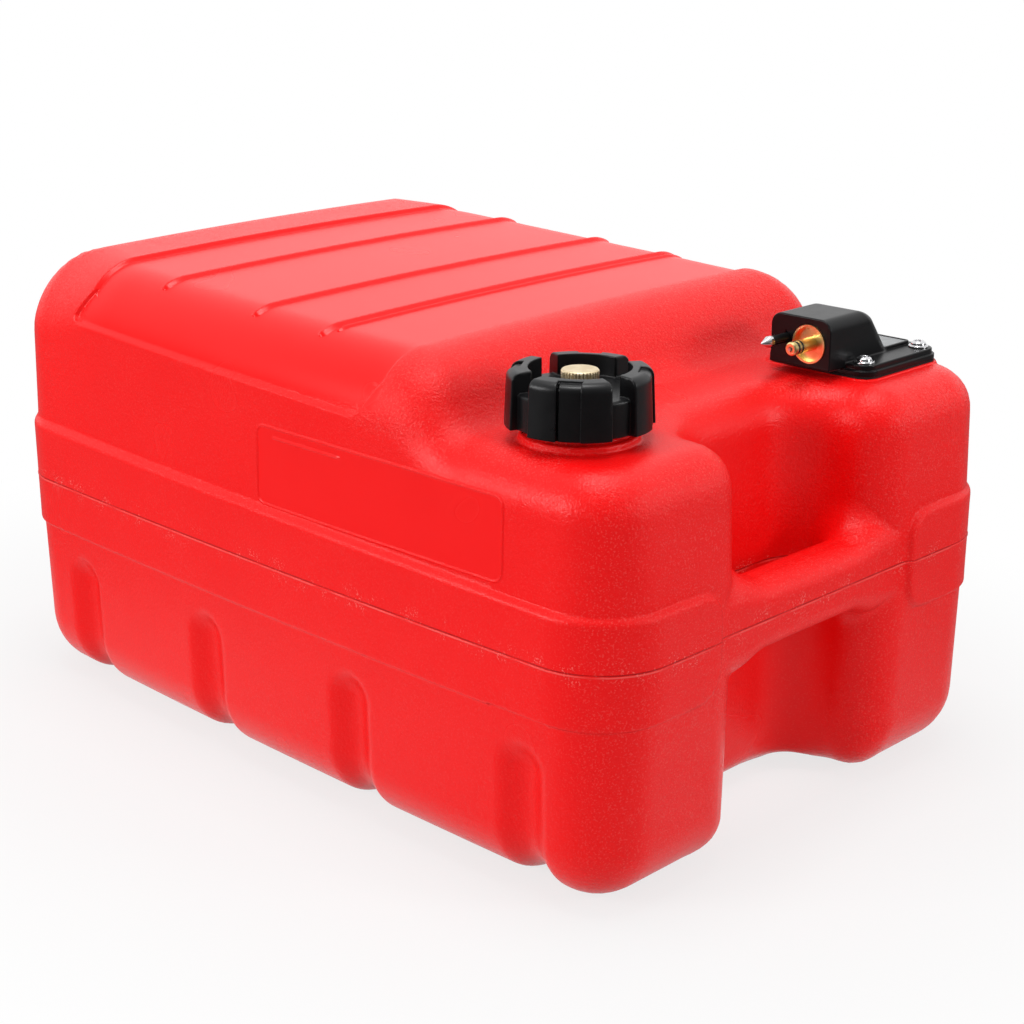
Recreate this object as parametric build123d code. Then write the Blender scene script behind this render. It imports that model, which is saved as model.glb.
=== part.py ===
from build123d import *
import math
import os

# A portable outboard fuel tank. Origin: middle of the footprint, on the ground.
# +Y runs from the handle end to the rear, +X to the fuel head's side, +Z up. All sizes in mm.

# ---- Tank shell: main sizes ----
TANK_LENGTH = 520.0          # over the band
TANK_WIDTH = 350.0           # over the band, at the fullest part of the bowed sides
TANK_HEIGHT = 282.0
TOP_FALL = 11.0              # how much lower the main top is at the step than at the rear
DECK_DROP = 50.0             # the front deck, which carries the cap and the fuel head, below the top's rear
PARTING_HEIGHT = 133.6       # where the two mould halves meet
WALL = 3.2
SIDE_BOW = 4.5               # how far each long side swells at its middle
CORNER_RADIUS = 37.0         # upright corners
SHOULDER_RADIUS = 28.0       # top edges
FOOT_RADIUS = 28.0           # bottom edges
UPPER_DRAFT = 1.7            # degrees
LOWER_DRAFT = 0.6            # degrees

# ---- Tank shell: step from the deck to the main height ----
STEP_FROM_FRONT = 125.0      # foot of the step
STEP_LEAN = 8.0              # degrees from upright
VALLEY_RADIUS = 13.0
CREST_RADIUS = 30.0

# ---- Tank shell: hand notch and handle bar ----
NOTCH_WIDTH = 114.0
NOTCH_DEPTH = 58.0
PILLAR_RADIUS = 32.0         # the notch's outer corners
NOTCH_RADIUS = 25.0          # the notch's inner corners
BAR_DEPTH = 30.0             # front to rear
BAR_HEIGHT = 40.0
BAR_RADIUS = 13.0
BAR_SETBACK = 0.6            # behind the tank's front face
BAR_FLARE = 8.0              # how much the bar grows where it runs into the pillars
BAR_FLARE_LENGTH = 17.0

# ---- Tank shell: band round the middle ----
BAND_PROUD = 2.8
BAND_LOW = 103.0
BAND_HIGH_FRONT = 165.0
BAND_HIGH_REAR = 172.7
BAND_BEVEL = 2.0
BAND_GAP_WIDTH = 170.0       # the band stops short of the notch
BAND_END_RADIUS = 18.0
BEAD_PROUD = 0.5             # moulding flash on the parting line
BEAD_THICKNESS = 1.4

# ---- Tank shell: recessed top panel and its ribs ----
PANEL_DEPTH = 2.5
PANEL_FRONT_FROM_STEP = 42.0         # along the top, behind the step's foot
PANEL_FRONT_SWEEP = 13.0             # further back at the panel's low front corners
PANEL_REAR_FROM_REAR = 88.0
PANEL_REAR_SWEEP = 15.0
PANEL_DROP = 39.0                    # how far down the sides the panel wraps
PANEL_BEND_DROP = 18.0               # where its front and rear edges start to sweep back, below the top
PANEL_CORNER = 7.0
RIB_WIDTH = 5.0
RIB_HEIGHT = 2.0
RIBS_FROM_REAR = (144.6, 230.0, 287.5)
RIB_FROM_SIDE = 22.0                 # the ribs' ends, in from the tank's sides
THIN_RIB_WIDTH = 2.2
THIN_RIB_GAP = 5.5                   # in front of the foremost rib

# ---- Tank shell: raised frame and level mark on the left side ----
FRAME_PROUD = 0.8
FRAME_BAR = 2.4
FRAME_LENGTH = 192.0
FRAME_HEIGHT = 44.0
FRAME_BELOW_DECK = 18.0              # the frame's top edge
FRAME_FROM_FRONT = 70.0
FRAME_RADIUS = 6.0
MARK_LENGTH = 56.0
MARK_FROM_FRONT = 192.0
MARK_FROM_TOP = 5.0                  # below the frame's top edge

# ---- Tank shell: stiffening grooves ----
GROOVE_WIDTH = 22.0
GROOVE_DEPTH = 7.0
GROOVE_TOP = 84.0
GROOVE_FROM_REAR = 73.0
GROOVE_PITCH = 129.0
GROOVE_COUNT = 4
CHANNEL_DEPTH = 5.0                  # the same grooves across the underside

# ---- Filler neck and cap ----
NECK_FROM_SIDE = 62.0
NECK_FROM_FRONT = 73.0
NECK_RADIUS = 27.0
NECK_BORE = 22.0                     # radius
NECK_HEIGHT = 20.5                   # above the deck
NECK_COLLAR_RADIUS = 30.5
NECK_COLLAR_HEIGHT = 4.0
CAP_CLEAR = 8.0                      # between the deck and the cap's lower edge
CAP_HEIGHT = 29.0
CAP_RADIUS = 38.0                    # over the lobes
CAP_SKIRT_RADIUS = 34.0
CAP_SKIRT_HEIGHT = 18.5
CAP_DISH_RADIUS = 26.0
CAP_ROOF = 3.5
CAP_LOBES = 4
LOBE_SWEEP = 70.0                    # degrees
LOBE_TURN = 34.0                     # degrees from +X to the first lobe
LOBE_CHANNEL_WIDTH = 12.0
LOBE_CHANNEL_DEPTH = 1.5
LOBE_CHANNEL_REACH = 6.0             # how far the channel runs in over the lobe's top
LOBE_DRAFT = 1.5                     # degrees
THREAD_CLEARANCE = 0.4
GASKET_THICKNESS = 2.0
GASKET_BORE_CLEARANCE = 0.5

# ---- Air vent in the cap ----
VENT_KNOB_RADIUS = 9.65
VENT_KNOB_HEIGHT = 6.5
VENT_KNURLS = 30
VENT_KNURL_DEPTH = 0.5
VENT_STEM_RADIUS = 3.0
VENT_BUSH_RADIUS = 5.0
VENT_BUSH_LENGTH = 12.0
VENT_HUB_WALL = 3.0
VENT_SEAL_RADIUS = 7.0
VENT_SEAL_THICKNESS = 1.7
VENT_LIFT = 2.0
VENT_CLIP_RADIUS = 4.6
VENT_CLIP_THICKNESS = 0.8
VENT_CLIP_GROOVE = 0.7               # radial depth
VENT_STEM_TAIL = 1.2                 # stem below the clip
RUNNING_CLEARANCE = 0.06

# ---- Fuel head: plate and connector box ----
HEAD_FROM_SIDE = 57.0
HEAD_FROM_FRONT = 72.0
SEAT_RAISE = 0.5                     # the moulded seat stands above the deck
SEAT_MARGIN = 1.5
HEAD_GASKET_THICKNESS = 1.2
PLATE_SIZE = 73.0
PLATE_RADIUS = 10.0
PLATE_TIER = 3.2                     # lower tier's thickness
PLATE_THICKNESS = 6.3
PLATE_STEP = 1.5
HEAD_HOLE_RADIUS = 24.0
SPIGOT_CLEARANCE = 0.4
SPIGOT_WALL = 3.0
SPIGOT_LENGTH = 7.5
BOX_WIDTH = 41.0
BOX_LENGTH = 40.0                    # along the top
BOX_OVERHANG = 14.5                  # past the plate, towards the handle's middle
BOX_HEIGHT = 26.0                    # above the plate's top
BOX_BACK_SLOPE = 13.0
BOX_BELLY = 3.0                      # the overhang's underside, below the plate's top
BOX_TOP_RADIUS = 7.0
BOX_LOW_RADIUS = 2.0
BOX_BACK_RADIUS = 6.0

# ---- Fuel head: fasteners ----
SCREW_SPACING = 54.0
SCREW_RADIUS = 2.5
SCREW_CLEARANCE = 0.2
SCREW_LENGTH = 15.0                  # under the flange
SCREW_FLANGE_RADIUS = 5.85
SCREW_FLANGE_THICKNESS = 1.0
SCREW_HEAD_RADIUS = 4.3
SCREW_HEAD_HEIGHT = 3.2
SCREW_CROSS_WIDTH = 1.1
SCREW_CROSS_LENGTH = 5.0
SCREW_CROSS_DEPTH = 1.8
INSERT_RADIUS = 3.6
INSERT_LENGTH = 10.0
INSERT_BOSS_WALL = 3.0

# ---- Fuel head: nipple, check valve and guide pin ----
NIPPLE_OFFSET = -6.0                 # sideways from the head's middle
NIPPLE_DROP = 15.0                   # below the box's top
NIPPLE_REACH = 17.0                  # stem in front of the box
NIPPLE_RADIUS = 3.8
NIPPLE_TIP_CHAMFER = 0.8
NIPPLE_BORE = 1.4
CUP_RADIUS = 11.0
CUP_RIM = 1.1
CUP_DEPTH = 3.2
CUP_FLOOR = 1.6
CUP_PROUD = 0.6
SHANK_RADIUS = 6.0
SHANK_LENGTH = 26.0                  # behind the cup
CHAMBER_RADIUS = 3.0
CHAMBER_FROM_TIP = 10.0
RING_GROOVES_FROM_TIP = (3.0, 6.2)
RING_GROOVE_WIDTH = 1.6
RING_GROOVE_DEPTH = 0.8
POPPET_PIN_RADIUS = 1.0
POPPET_PROUD = 0.8
POPPET_HEAD_RADIUS = 2.6
POPPET_HEAD_LENGTH = 3.0
POPPET_SEAT_GAP = 0.3
SPRING_WIRE_RADIUS = 0.35
SPRING_RADIUS = 2.0
SPRING_COILS = 6
SEAT_PLUG_LENGTH = 4.0
SEAT_PLUG_BORE = 1.5
PIN_OFFSET = 9.4
PIN_DROP = 13.5
PIN_REACH = 23.6                     # tip in front of the box
PIN_RADIUS = 1.6
PIN_TIP_RADIUS = 3.2
PIN_TIP_CONE = 6.4
PIN_TIP_BAND = 2.4
PIN_SLEEVE_RADIUS = 2.8
PIN_DEPTH = 14.0                     # into the box

# ---- Fuel pick-up ----
PICKUP_BEHIND_BOX_FACE = 38.0
PICKUP_RADIUS = 4.0
PICKUP_WALL = 1.0
PICKUP_FOOT = 15.0                   # tube's end above the ground
PICKUP_SOCKET = 12.0                 # length held in the head, above the plate's underside
STRAINER_RADIUS = 6.5
STRAINER_WALL = 1.3
STRAINER_LENGTH = 24.0
STRAINER_FOOT = 10.0
STRAINER_SLOTS = 6
STRAINER_SLOT_WIDTH = 3.0
PRESS_GAP = 0.05

# ---- Float gauge ----
GAUGE_OFFSET = 13.0                  # from the head's middle, towards the tank's side
WINDOW_OFFSET = 17.0
WINDOW_LENGTH = 28.0
WINDOW_WIDTH = 38.0
WINDOW_RAISE = 2.0                   # above the plate's top
WINDOW_WALL = 1.7
WINDOW_RADIUS = 3.0
LENS_THICKNESS = 1.8
LENS_GAP = 0.15
LENS_SINK = 0.4                      # below the frame's top
DIAL_THICKNESS = 0.8
DIAL_SLOT_RADIUS = 6.2
DIAL_SLOT_WIDTH = 3.4
DRUM_RADIUS = 7.8
DRUM_THICKNESS = 1.0
DRUM_GAP = 0.5                       # over the pocket's floor and under the dial
SHAFT_RADIUS = 1.4
SHAFT_CLEARANCE = 0.3
STRIP_WIDTH = 5.0
STRIP_THICKNESS = 0.8
STRIP_TWIST = 150.0                  # degrees over the float's travel
FRAME_DISC_RADIUS = 10.5
FRAME_DISC_THICKNESS = 3.0
GAUGE_FOOT = 12.0                    # gauge frame above the ground
GAUGE_HEAD_DROP = 9.7                # gauge frame's top disc below the plate's underside
RAIL_WIDTH = 2.0
RAIL_DEPTH = 1.6
RAIL_RADIUS = 9.6                    # to the middle of each rail
RAIL_CLEARANCE = 0.4
COLLAR_RADIUS = 7.3                  # neck of the frame, inside the head's spigot
COLLAR_WALL = 2.0
FLOAT_RADIUS = 9.2
FLOAT_LENGTH = 30.0
FLOAT_BORE = 3.6
FLOAT_END_GAP = 1.0
FLOAT_PLATE_RADIUS = 5.5
FLOAT_PLATE_THICKNESS = 1.6
SLOT_CLEARANCE = 0.25

# ---- Places that follow from the sizes above ----
BODY_HALF_WIDTH = TANK_WIDTH / 2 - BAND_PROUD
BODY_HALF_LENGTH = TANK_LENGTH / 2 - BAND_PROUD
DECK_HEIGHT = TANK_HEIGHT - DECK_DROP
STEP_Y = STEP_FROM_FRONT - TANK_LENGTH / 2
TOP_CREST_Y = BODY_HALF_LENGTH - SHOULDER_RADIUS     # the main top's highest place
TOP_SLOPE = TOP_FALL / (TOP_CREST_Y - STEP_Y)
NECK_X = NECK_FROM_SIDE - TANK_WIDTH / 2
NECK_Y = NECK_FROM_FRONT - TANK_LENGTH / 2
NECK_TOP = DECK_HEIGHT + NECK_HEIGHT
CAP_BOTTOM = DECK_HEIGHT + CAP_CLEAR
CAP_TOP = CAP_BOTTOM + CAP_HEIGHT
CAP_SKIRT_TOP = CAP_BOTTOM + CAP_SKIRT_HEIGHT
HEAD_X = TANK_WIDTH / 2 - HEAD_FROM_SIDE
HEAD_Y = HEAD_FROM_FRONT - TANK_LENGTH / 2
SEAT_Z = DECK_HEIGHT + SEAT_RAISE
PLATE_Z = SEAT_Z + HEAD_GASKET_THICKNESS
PLATE_TOP = PLATE_Z + PLATE_THICKNESS
BOX_TOP = PLATE_TOP + BOX_HEIGHT
BOX_FACE = HEAD_X - PLATE_SIZE / 2 - BOX_OVERHANG
NIPPLE_Y = HEAD_Y + NIPPLE_OFFSET
NIPPLE_Z = BOX_TOP - NIPPLE_DROP
NIPPLE_TIP = BOX_FACE - NIPPLE_REACH
CUP_BACK = BOX_FACE + CUP_DEPTH + CUP_FLOOR - CUP_PROUD
SHANK_END = CUP_BACK + SHANK_LENGTH
CHAMBER_START = NIPPLE_TIP + CHAMBER_FROM_TIP
POPPET_HEAD_START = CHAMBER_START + POPPET_SEAT_GAP
SPRING_START = POPPET_HEAD_START + POPPET_HEAD_LENGTH
SPRING_END = SHANK_END - SEAT_PLUG_LENGTH
PIN_Y = HEAD_Y + PIN_OFFSET
PIN_Z = BOX_TOP - PIN_DROP
PIN_TIP = BOX_FACE - PIN_REACH
PIN_SLEEVE_START = PIN_TIP + PIN_TIP_CONE + PIN_TIP_BAND
PICKUP_X = BOX_FACE + PICKUP_BEHIND_BOX_FACE
GAUGE_X = HEAD_X + GAUGE_OFFSET
WINDOW_X = HEAD_X + WINDOW_OFFSET
WINDOW_TOP = PLATE_TOP + WINDOW_RAISE
LENS_Z = WINDOW_TOP - LENS_SINK - LENS_THICKNESS
DIAL_Z = LENS_Z - DIAL_THICKNESS
DRUM_Z = DIAL_Z - DRUM_GAP - DRUM_THICKNESS
POCKET_FLOOR = DRUM_Z - DRUM_GAP
GAUGE_TOP = PLATE_Z - GAUGE_HEAD_DROP
GAUGE_INNER_TOP = GAUGE_TOP - FRAME_DISC_THICKNESS
GAUGE_INNER_LOW = GAUGE_FOOT + FRAME_DISC_THICKNESS
FLOAT_Z = GAUGE_INNER_LOW                # an empty tank's float lies on the lower disc
FLOAT_PLATE_Z = FLOAT_Z + FLOAT_LENGTH
FLOAT_TRAVEL = GAUGE_INNER_TOP - FLOAT_END_GAP - FLOAT_PLATE_THICKNESS - FLOAT_PLATE_Z
TWIST_RATE = STRIP_TWIST / FLOAT_TRAVEL
CAP_FLOOR = NECK_TOP + GASKET_THICKNESS + CAP_ROOF
VENT_SEAL_Z = CAP_FLOOR
VENT_KNOB_Z = VENT_SEAL_Z + VENT_SEAL_THICKNESS
VENT_BUSH_LOW = CAP_FLOOR - VENT_BUSH_LENGTH
VENT_CLIP_Z = VENT_BUSH_LOW - VENT_LIFT - VENT_CLIP_THICKNESS - RUNNING_CLEARANCE
SCREW_PLACES = [(HEAD_X + i * SCREW_SPACING / 2, HEAD_Y + j * SCREW_SPACING / 2)
                for i in (-1, 1) for j in (-1, 1)]
SIDE_VIEW = Plane(origin=(0, 0, 0), x_dir=(0, 1, 0), z_dir=(1, 0, 0))    # sketch X is Y, sketch Y is Z


def near(value, target):
    return abs(value - target) < 1e-3


def rod(radius, x, y, low, high):
    """An upright cylinder between two heights."""
    return Pos(x, y, low) * Cylinder(radius, high - low, align=(Align.CENTER, Align.CENTER, Align.MIN))


def level_rod(radius, y, z, start, end):
    """A cylinder along X between two places."""
    return Pos(start, y, z) * Rot(0, 90, 0) * Cylinder(
        radius, end - start, align=(Align.CENTER, Align.CENTER, Align.MIN))


def plate(length, width, radius, x, y, low, high):
    """An upright prism of a rounded rectangle."""
    return extrude(Pos(x, y, low) * RectangleRounded(length, width, radius), high - low)


def side_at(y):
    """Half width of the tank's body at the parting line, at this place along it."""
    return BODY_HALF_WIDTH - SIDE_BOW * (y / BODY_HALF_LENGTH) ** 2


def top_at(y):
    """Height of the main top, which falls from the rear towards the step."""
    return TANK_HEIGHT - TOP_SLOPE * (TOP_CREST_Y - y)


# ---------------- tank shell ----------------

def outline(inset):
    """The tank's plan at the parting line: bowed sides, flat ends, round corners."""
    half_width = BODY_HALF_WIDTH - inset
    half_length = BODY_HALF_LENGTH - inset
    end = half_width - SIDE_BOW
    right = ThreePointArc((end, -half_length), (half_width, 0), (end, half_length))
    left = ThreePointArc((-end, half_length), (-half_width, 0), (-end, -half_length))
    loop = Curve() + [right, Line(right @ 1, left @ 0), left, Line(left @ 1, right @ 0)]
    face = make_face(loop)
    return fillet(face.vertices(), CORNER_RADIUS - inset)


def notched_outline(inset):
    """The plan with the hand notch in its front end. The notch grows as the skin is inset."""
    half_length = BODY_HALF_LENGTH - inset
    half_notch = NOTCH_WIDTH / 2 + inset
    back = NOTCH_DEPTH - BODY_HALF_LENGTH + inset
    depth = back + half_length
    face = outline(inset) - Pos(0, back - depth / 2) * Rectangle(2 * half_notch, depth)
    mouth = face.vertices().filter_by(
        lambda v: near(v.Y, -half_length) and near(abs(v.X), half_notch))
    face = fillet(mouth, PILLAR_RADIUS - inset)
    corners = face.vertices().filter_by(lambda v: near(v.Y, back) and near(abs(v.X), half_notch))
    return fillet(corners, NOTCH_RADIUS + inset)


def upper_half(inset):
    """The half above the parting line: deck, step and main top, with one rounding all along its edge."""
    deck, foot_y = DECK_HEIGHT - inset, STEP_Y + inset
    lean = math.tan(math.radians(STEP_LEAN))
    rise = (top_at(foot_y) - inset - deck) / (1 - TOP_SLOPE * lean)
    crest_y = foot_y + rise * lean
    bend = math.tan(math.radians(90 - STEP_LEAN) / 2)
    room = rise / math.cos(math.radians(STEP_LEAN)) - (VALLEY_RADIUS + inset) * bend
    crest_radius = min(CREST_RADIUS - inset, 0.95 * room / bend)
    far, over = 2 * TANK_LENGTH, 2 * TANK_HEIGHT
    block = extrude(Pos(0, 0, PARTING_HEIGHT) * notched_outline(inset),
                    over - PARTING_HEIGHT - inset, taper=UPPER_DRAFT)
    above = make_face(Polyline((-far, deck), (foot_y, deck), (crest_y, deck + rise),
                               (far, top_at(far) - inset), (far, 2 * over), (-far, 2 * over), close=True))
    above = fillet(above.vertices().filter_by(lambda v: near(v.X, foot_y) and near(v.Y, deck)),
                   VALLEY_RADIUS + inset)
    above = fillet(above.vertices().filter_by(lambda v: near(v.X, crest_y) and near(v.Y, deck + rise)),
                   crest_radius)
    block -= extrude(SIDE_VIEW * above, 2 * TANK_WIDTH, both=True)

    def is_top(face):
        middle = face.center()
        return abs(face.normal_at(middle).X) < 1e-4 and middle.Z > deck - 1e-3

    def crosses_tank(edge):
        along = (edge @ 1) - (edge @ 0)
        inside = abs(edge.center().Y) < BODY_HALF_LENGTH - NOTCH_DEPTH - inset - 1
        return inside and edge.geom_type == GeomType.LINE and abs(along.X) > 0.999 * along.length

    rim = [e for f in block.faces() if is_top(f) for e in f.edges() if not crosses_tank(e)]
    return fillet(rim, SHOULDER_RADIUS - inset)


def lower_half(inset):
    """The half below the parting line, with its rounded foot and the stiffening grooves."""
    block = extrude(Pos(0, 0, PARTING_HEIGHT) * notched_outline(inset),
                    PARTING_HEIGHT - inset, dir=(0, 0, -1), taper=LOWER_DRAFT)
    block = fillet(block.faces().sort_by(Axis.Z)[0].edges(), FOOT_RADIUS - inset)
    radius = (GROOVE_WIDTH ** 2 / 4 + GROOVE_DEPTH ** 2) / (2 * GROOVE_DEPTH)
    channel = (GROOVE_WIDTH ** 2 / 4 + CHANNEL_DEPTH ** 2) / (2 * CHANNEL_DEPTH)
    tip = GROOVE_TOP - radius
    for i in range(GROOVE_COUNT):
        y = TANK_LENGTH / 2 - GROOVE_FROM_REAR - i * GROOVE_PITCH
        for side in (-1, 1):
            x = side * (side_at(y) + radius - GROOVE_DEPTH)
            block -= rod(radius + inset, x, y, -radius, tip) + Pos(x, y, tip) * Sphere(radius + inset)
        block -= level_rod(channel + inset, y, CHANNEL_DEPTH - channel, -TANK_WIDTH, TANK_WIDTH)
    return block


def side_prism(points, radius):
    """A rounded side-view outline pushed right through the tank's width."""
    face = make_face(FilletPolyline(*points, radius=radius, close=True))
    return extrude(SIDE_VIEW * face, TANK_WIDTH, both=True)


def panel_region():
    """The space the recessed panel takes: along the top and down over both shoulders."""
    front = STEP_Y + PANEL_FRONT_FROM_STEP
    rear = TANK_LENGTH / 2 - PANEL_REAR_FROM_REAR
    high = TANK_HEIGHT + 4 * PANEL_CORNER
    low_front, low_rear = front + PANEL_FRONT_SWEEP, rear + PANEL_REAR_SWEEP
    return side_prism([(front, high), (front, top_at(front) - PANEL_BEND_DROP),
                       (low_front, top_at(low_front) - PANEL_DROP),
                       (low_rear, top_at(low_rear) - PANEL_DROP),
                       (rear, top_at(rear) - PANEL_BEND_DROP), (rear, high)], PANEL_CORNER)


def skin(inset):
    """The tank's plain form with its recessed panel. Inset 0 is the outside, and WALL the cavity."""
    upper = upper_half(inset)
    recess = panel_region() - upper_half(inset + PANEL_DEPTH)
    return upper - recess + lower_half(inset)


def top_ribs():
    """Beads across the recessed panel, a little lower than its rim."""
    form = upper_half(PANEL_DEPTH - RIB_HEIGHT)
    places = [(TANK_LENGTH / 2 - d, RIB_WIDTH) for d in RIBS_FROM_REAR]
    places.append((places[-1][0] - THIN_RIB_GAP, THIN_RIB_WIDTH))
    bars = [extrude(Pos(0, y, top_at(y)) * SlotOverall(TANK_WIDTH - 2 * RIB_FROM_SIDE, width),
                    SHOULDER_RADIUS / 2, both=True) for y, width in places]
    return [form & bar for bar in bars]


def side_frame():
    """The thin raised frame and level mark on the left side."""
    form = upper_half(-FRAME_PROUD)
    length, height = FRAME_LENGTH, FRAME_HEIGHT
    top = DECK_HEIGHT - FRAME_BELOW_DECK
    middle = (FRAME_FROM_FRONT - TANK_LENGTH / 2 + length / 2, top - height / 2)
    ring = RectangleRounded(length, height, FRAME_RADIUS) - RectangleRounded(
        length - 2 * FRAME_BAR, height - 2 * FRAME_BAR, FRAME_RADIUS - FRAME_BAR)
    mark = Pos(MARK_FROM_FRONT - TANK_LENGTH / 2 + MARK_LENGTH / 2,
               top - MARK_FROM_TOP) * SlotOverall(MARK_LENGTH, FRAME_BAR)
    left = Plane(origin=(-TANK_WIDTH, 0, 0), x_dir=(0, 1, 0), z_dir=(1, 0, 0))
    return [form & extrude(left * shape, TANK_WIDTH / 2 + CORNER_RADIUS)
            for shape in (Pos(*middle) * ring, mark)]


def band():
    """The raised band. It climbs a little towards the rear and stops short of the hand notch."""
    low, high = BAND_LOW, max(BAND_HIGH_FRONT, BAND_HIGH_REAR) + 1
    far = TANK_LENGTH
    slope = (BAND_HIGH_REAR - BAND_HIGH_FRONT) / TANK_LENGTH
    middle = (BAND_HIGH_REAR + BAND_HIGH_FRONT) / 2
    hoop = extrude(Pos(0, 0, low) * outline(-BAND_PROUD), high - low)
    above = make_face(Polyline((-far, middle - slope * far), (far, middle + slope * far),
                               (far, high + far), (-far, high + far), close=True))
    hoop -= extrude(SIDE_VIEW * above, TANK_WIDTH, both=True)
    hoop = chamfer(hoop.faces().sort_by(Axis.Z)[-1].edges() + hoop.faces().sort_by(Axis.Z)[0].edges(),
                   BAND_BEVEL)
    gap, reach = BAND_GAP_WIDTH / 2, CORNER_RADIUS + NOTCH_DEPTH
    width = BODY_HALF_WIDTH - gap
    ends = [Pos(side * (gap + width), (BAND_HIGH_FRONT + low) / 2) * RectangleRounded(
        2 * width, BAND_HIGH_FRONT - low, BAND_END_RADIUS) for side in (-1, 1)]
    clear = Rectangle(2 * (gap + BAND_END_RADIUS), 4 * TANK_HEIGHT)
    window = Plane(origin=(0, reach - TANK_LENGTH / 2, 0), x_dir=(1, 0, 0), z_dir=(0, -1, 0)) * (
        clear - ends[0] - ends[1])
    return hoop - extrude(window, 2 * reach)


def parting_bead():
    """Moulding flash: a fine raised line all round, on the band as well as on the pillars and the bar."""
    low = PARTING_HEIGHT - BEAD_THICKNESS / 2
    line = extrude(Pos(0, 0, low) * notched_outline(-BEAD_PROUD), BEAD_THICKNESS)
    on_band = extrude(Pos(0, 0, low) * outline(-BAND_PROUD - BEAD_PROUD), BEAD_THICKNESS)
    front = Pos(0, -TANK_LENGTH / 2, PARTING_HEIGHT) * Box(
        BAND_GAP_WIDTH, 2 * (NOTCH_DEPTH + CORNER_RADIUS), TANK_HEIGHT)
    return line + (on_band - front)


def handle_bar():
    """The bar moulded across the notch, which swells into the pillars at both ends."""
    half = NOTCH_WIDTH / 2
    front = BAR_SETBACK - BODY_HALF_LENGTH
    core = Plane(origin=(0, front + BAR_DEPTH / 2, PARTING_HEIGHT), x_dir=(0, 1, 0), z_dir=(1, 0, 0))
    bar = extrude(core * RectangleRounded(BAR_DEPTH, BAR_HEIGHT, BAR_RADIUS), half + BAR_FLARE, both=True)
    for side in (-1, 1):
        thin = Plane(origin=(side * (half - BAR_FLARE_LENGTH), core.origin.Y, PARTING_HEIGHT),
                     x_dir=(0, 1, 0), z_dir=(side, 0, 0))
        thick = Plane(origin=(side * (half + BAR_FLARE), core.origin.Y + BAR_FLARE / 2, PARTING_HEIGHT),
                      x_dir=(0, 1, 0), z_dir=(side, 0, 0))
        small = thin * RectangleRounded(BAR_DEPTH, BAR_HEIGHT, BAR_RADIUS)
        large = thick * RectangleRounded(BAR_DEPTH + BAR_FLARE, BAR_HEIGHT + 2 * BAR_FLARE,
                                         BAR_RADIUS + BAR_FLARE / 2)
        bar += loft([small, large])
    return bar


def tank_shell():
    shell = skin(0) + band() + parting_bead() + handle_bar()
    for part in top_ribs() + side_frame():
        shell += part
    low = DECK_HEIGHT - SHOULDER_RADIUS
    seat = PLATE_SIZE + 2 * SEAT_MARGIN
    shell += plate(seat, seat, PLATE_RADIUS + SEAT_MARGIN, HEAD_X, HEAD_Y, low, SEAT_Z)
    shell += rod(NECK_RADIUS, NECK_X, NECK_Y, low, NECK_TOP)
    shell += rod(NECK_COLLAR_RADIUS, NECK_X, NECK_Y, low, DECK_HEIGHT + NECK_COLLAR_HEIGHT)
    shell -= skin(WALL)
    for x, y in SCREW_PLACES:
        shell += rod(INSERT_RADIUS + INSERT_BOSS_WALL, x, y,
                     SEAT_Z - INSERT_LENGTH - INSERT_BOSS_WALL, DECK_HEIGHT - WALL / 2)
        shell -= rod(INSERT_RADIUS, x, y, SEAT_Z - INSERT_LENGTH, SEAT_Z + 1)
    shell -= rod(NECK_BORE, NECK_X, NECK_Y, low, NECK_TOP + 1)
    shell -= rod(HEAD_HOLE_RADIUS, HEAD_X, HEAD_Y, low, SEAT_Z + 1)
    return shell


# ---------------- filler cap ----------------

def cap_lobe():
    """One grip lobe, on +X: a ring sector with rounded edges and a shallow channel down its middle."""
    height = CAP_TOP - CAP_BOTTOM
    sector = (Circle(CAP_RADIUS) - Circle(CAP_DISH_RADIUS)) & make_face(Polyline(
        (0, 0), (2 * CAP_RADIUS, -2 * CAP_RADIUS * math.tan(math.radians(LOBE_SWEEP / 2))),
        (2 * CAP_RADIUS, 2 * CAP_RADIUS * math.tan(math.radians(LOBE_SWEEP / 2))), close=True))
    lobe = extrude(Pos(0, 0, CAP_BOTTOM) * sector, height, taper=LOBE_DRAFT)
    lobe = fillet(lobe.edges().filter_by(lambda e: e.length > height * 0.9
                                         and near(e.center().Z, (CAP_TOP + CAP_BOTTOM) / 2)), 2.0)
    lobe = fillet(lobe.faces().sort_by(Axis.Z)[-1].edges(), 1.8)
    skin_cut = CAP_RADIUS - LOBE_CHANNEL_DEPTH
    outer = Pos(skin_cut + CAP_RADIUS / 2, 0, (CAP_TOP + CAP_BOTTOM) / 2) * Box(
        CAP_RADIUS, LOBE_CHANNEL_WIDTH, 2 * height)
    over = Pos(CAP_RADIUS - LOBE_CHANNEL_REACH + CAP_RADIUS / 2, 0, CAP_TOP) * Box(
        CAP_RADIUS, LOBE_CHANNEL_WIDTH, 2 * LOBE_CHANNEL_DEPTH)
    return lobe - outer - over


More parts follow.
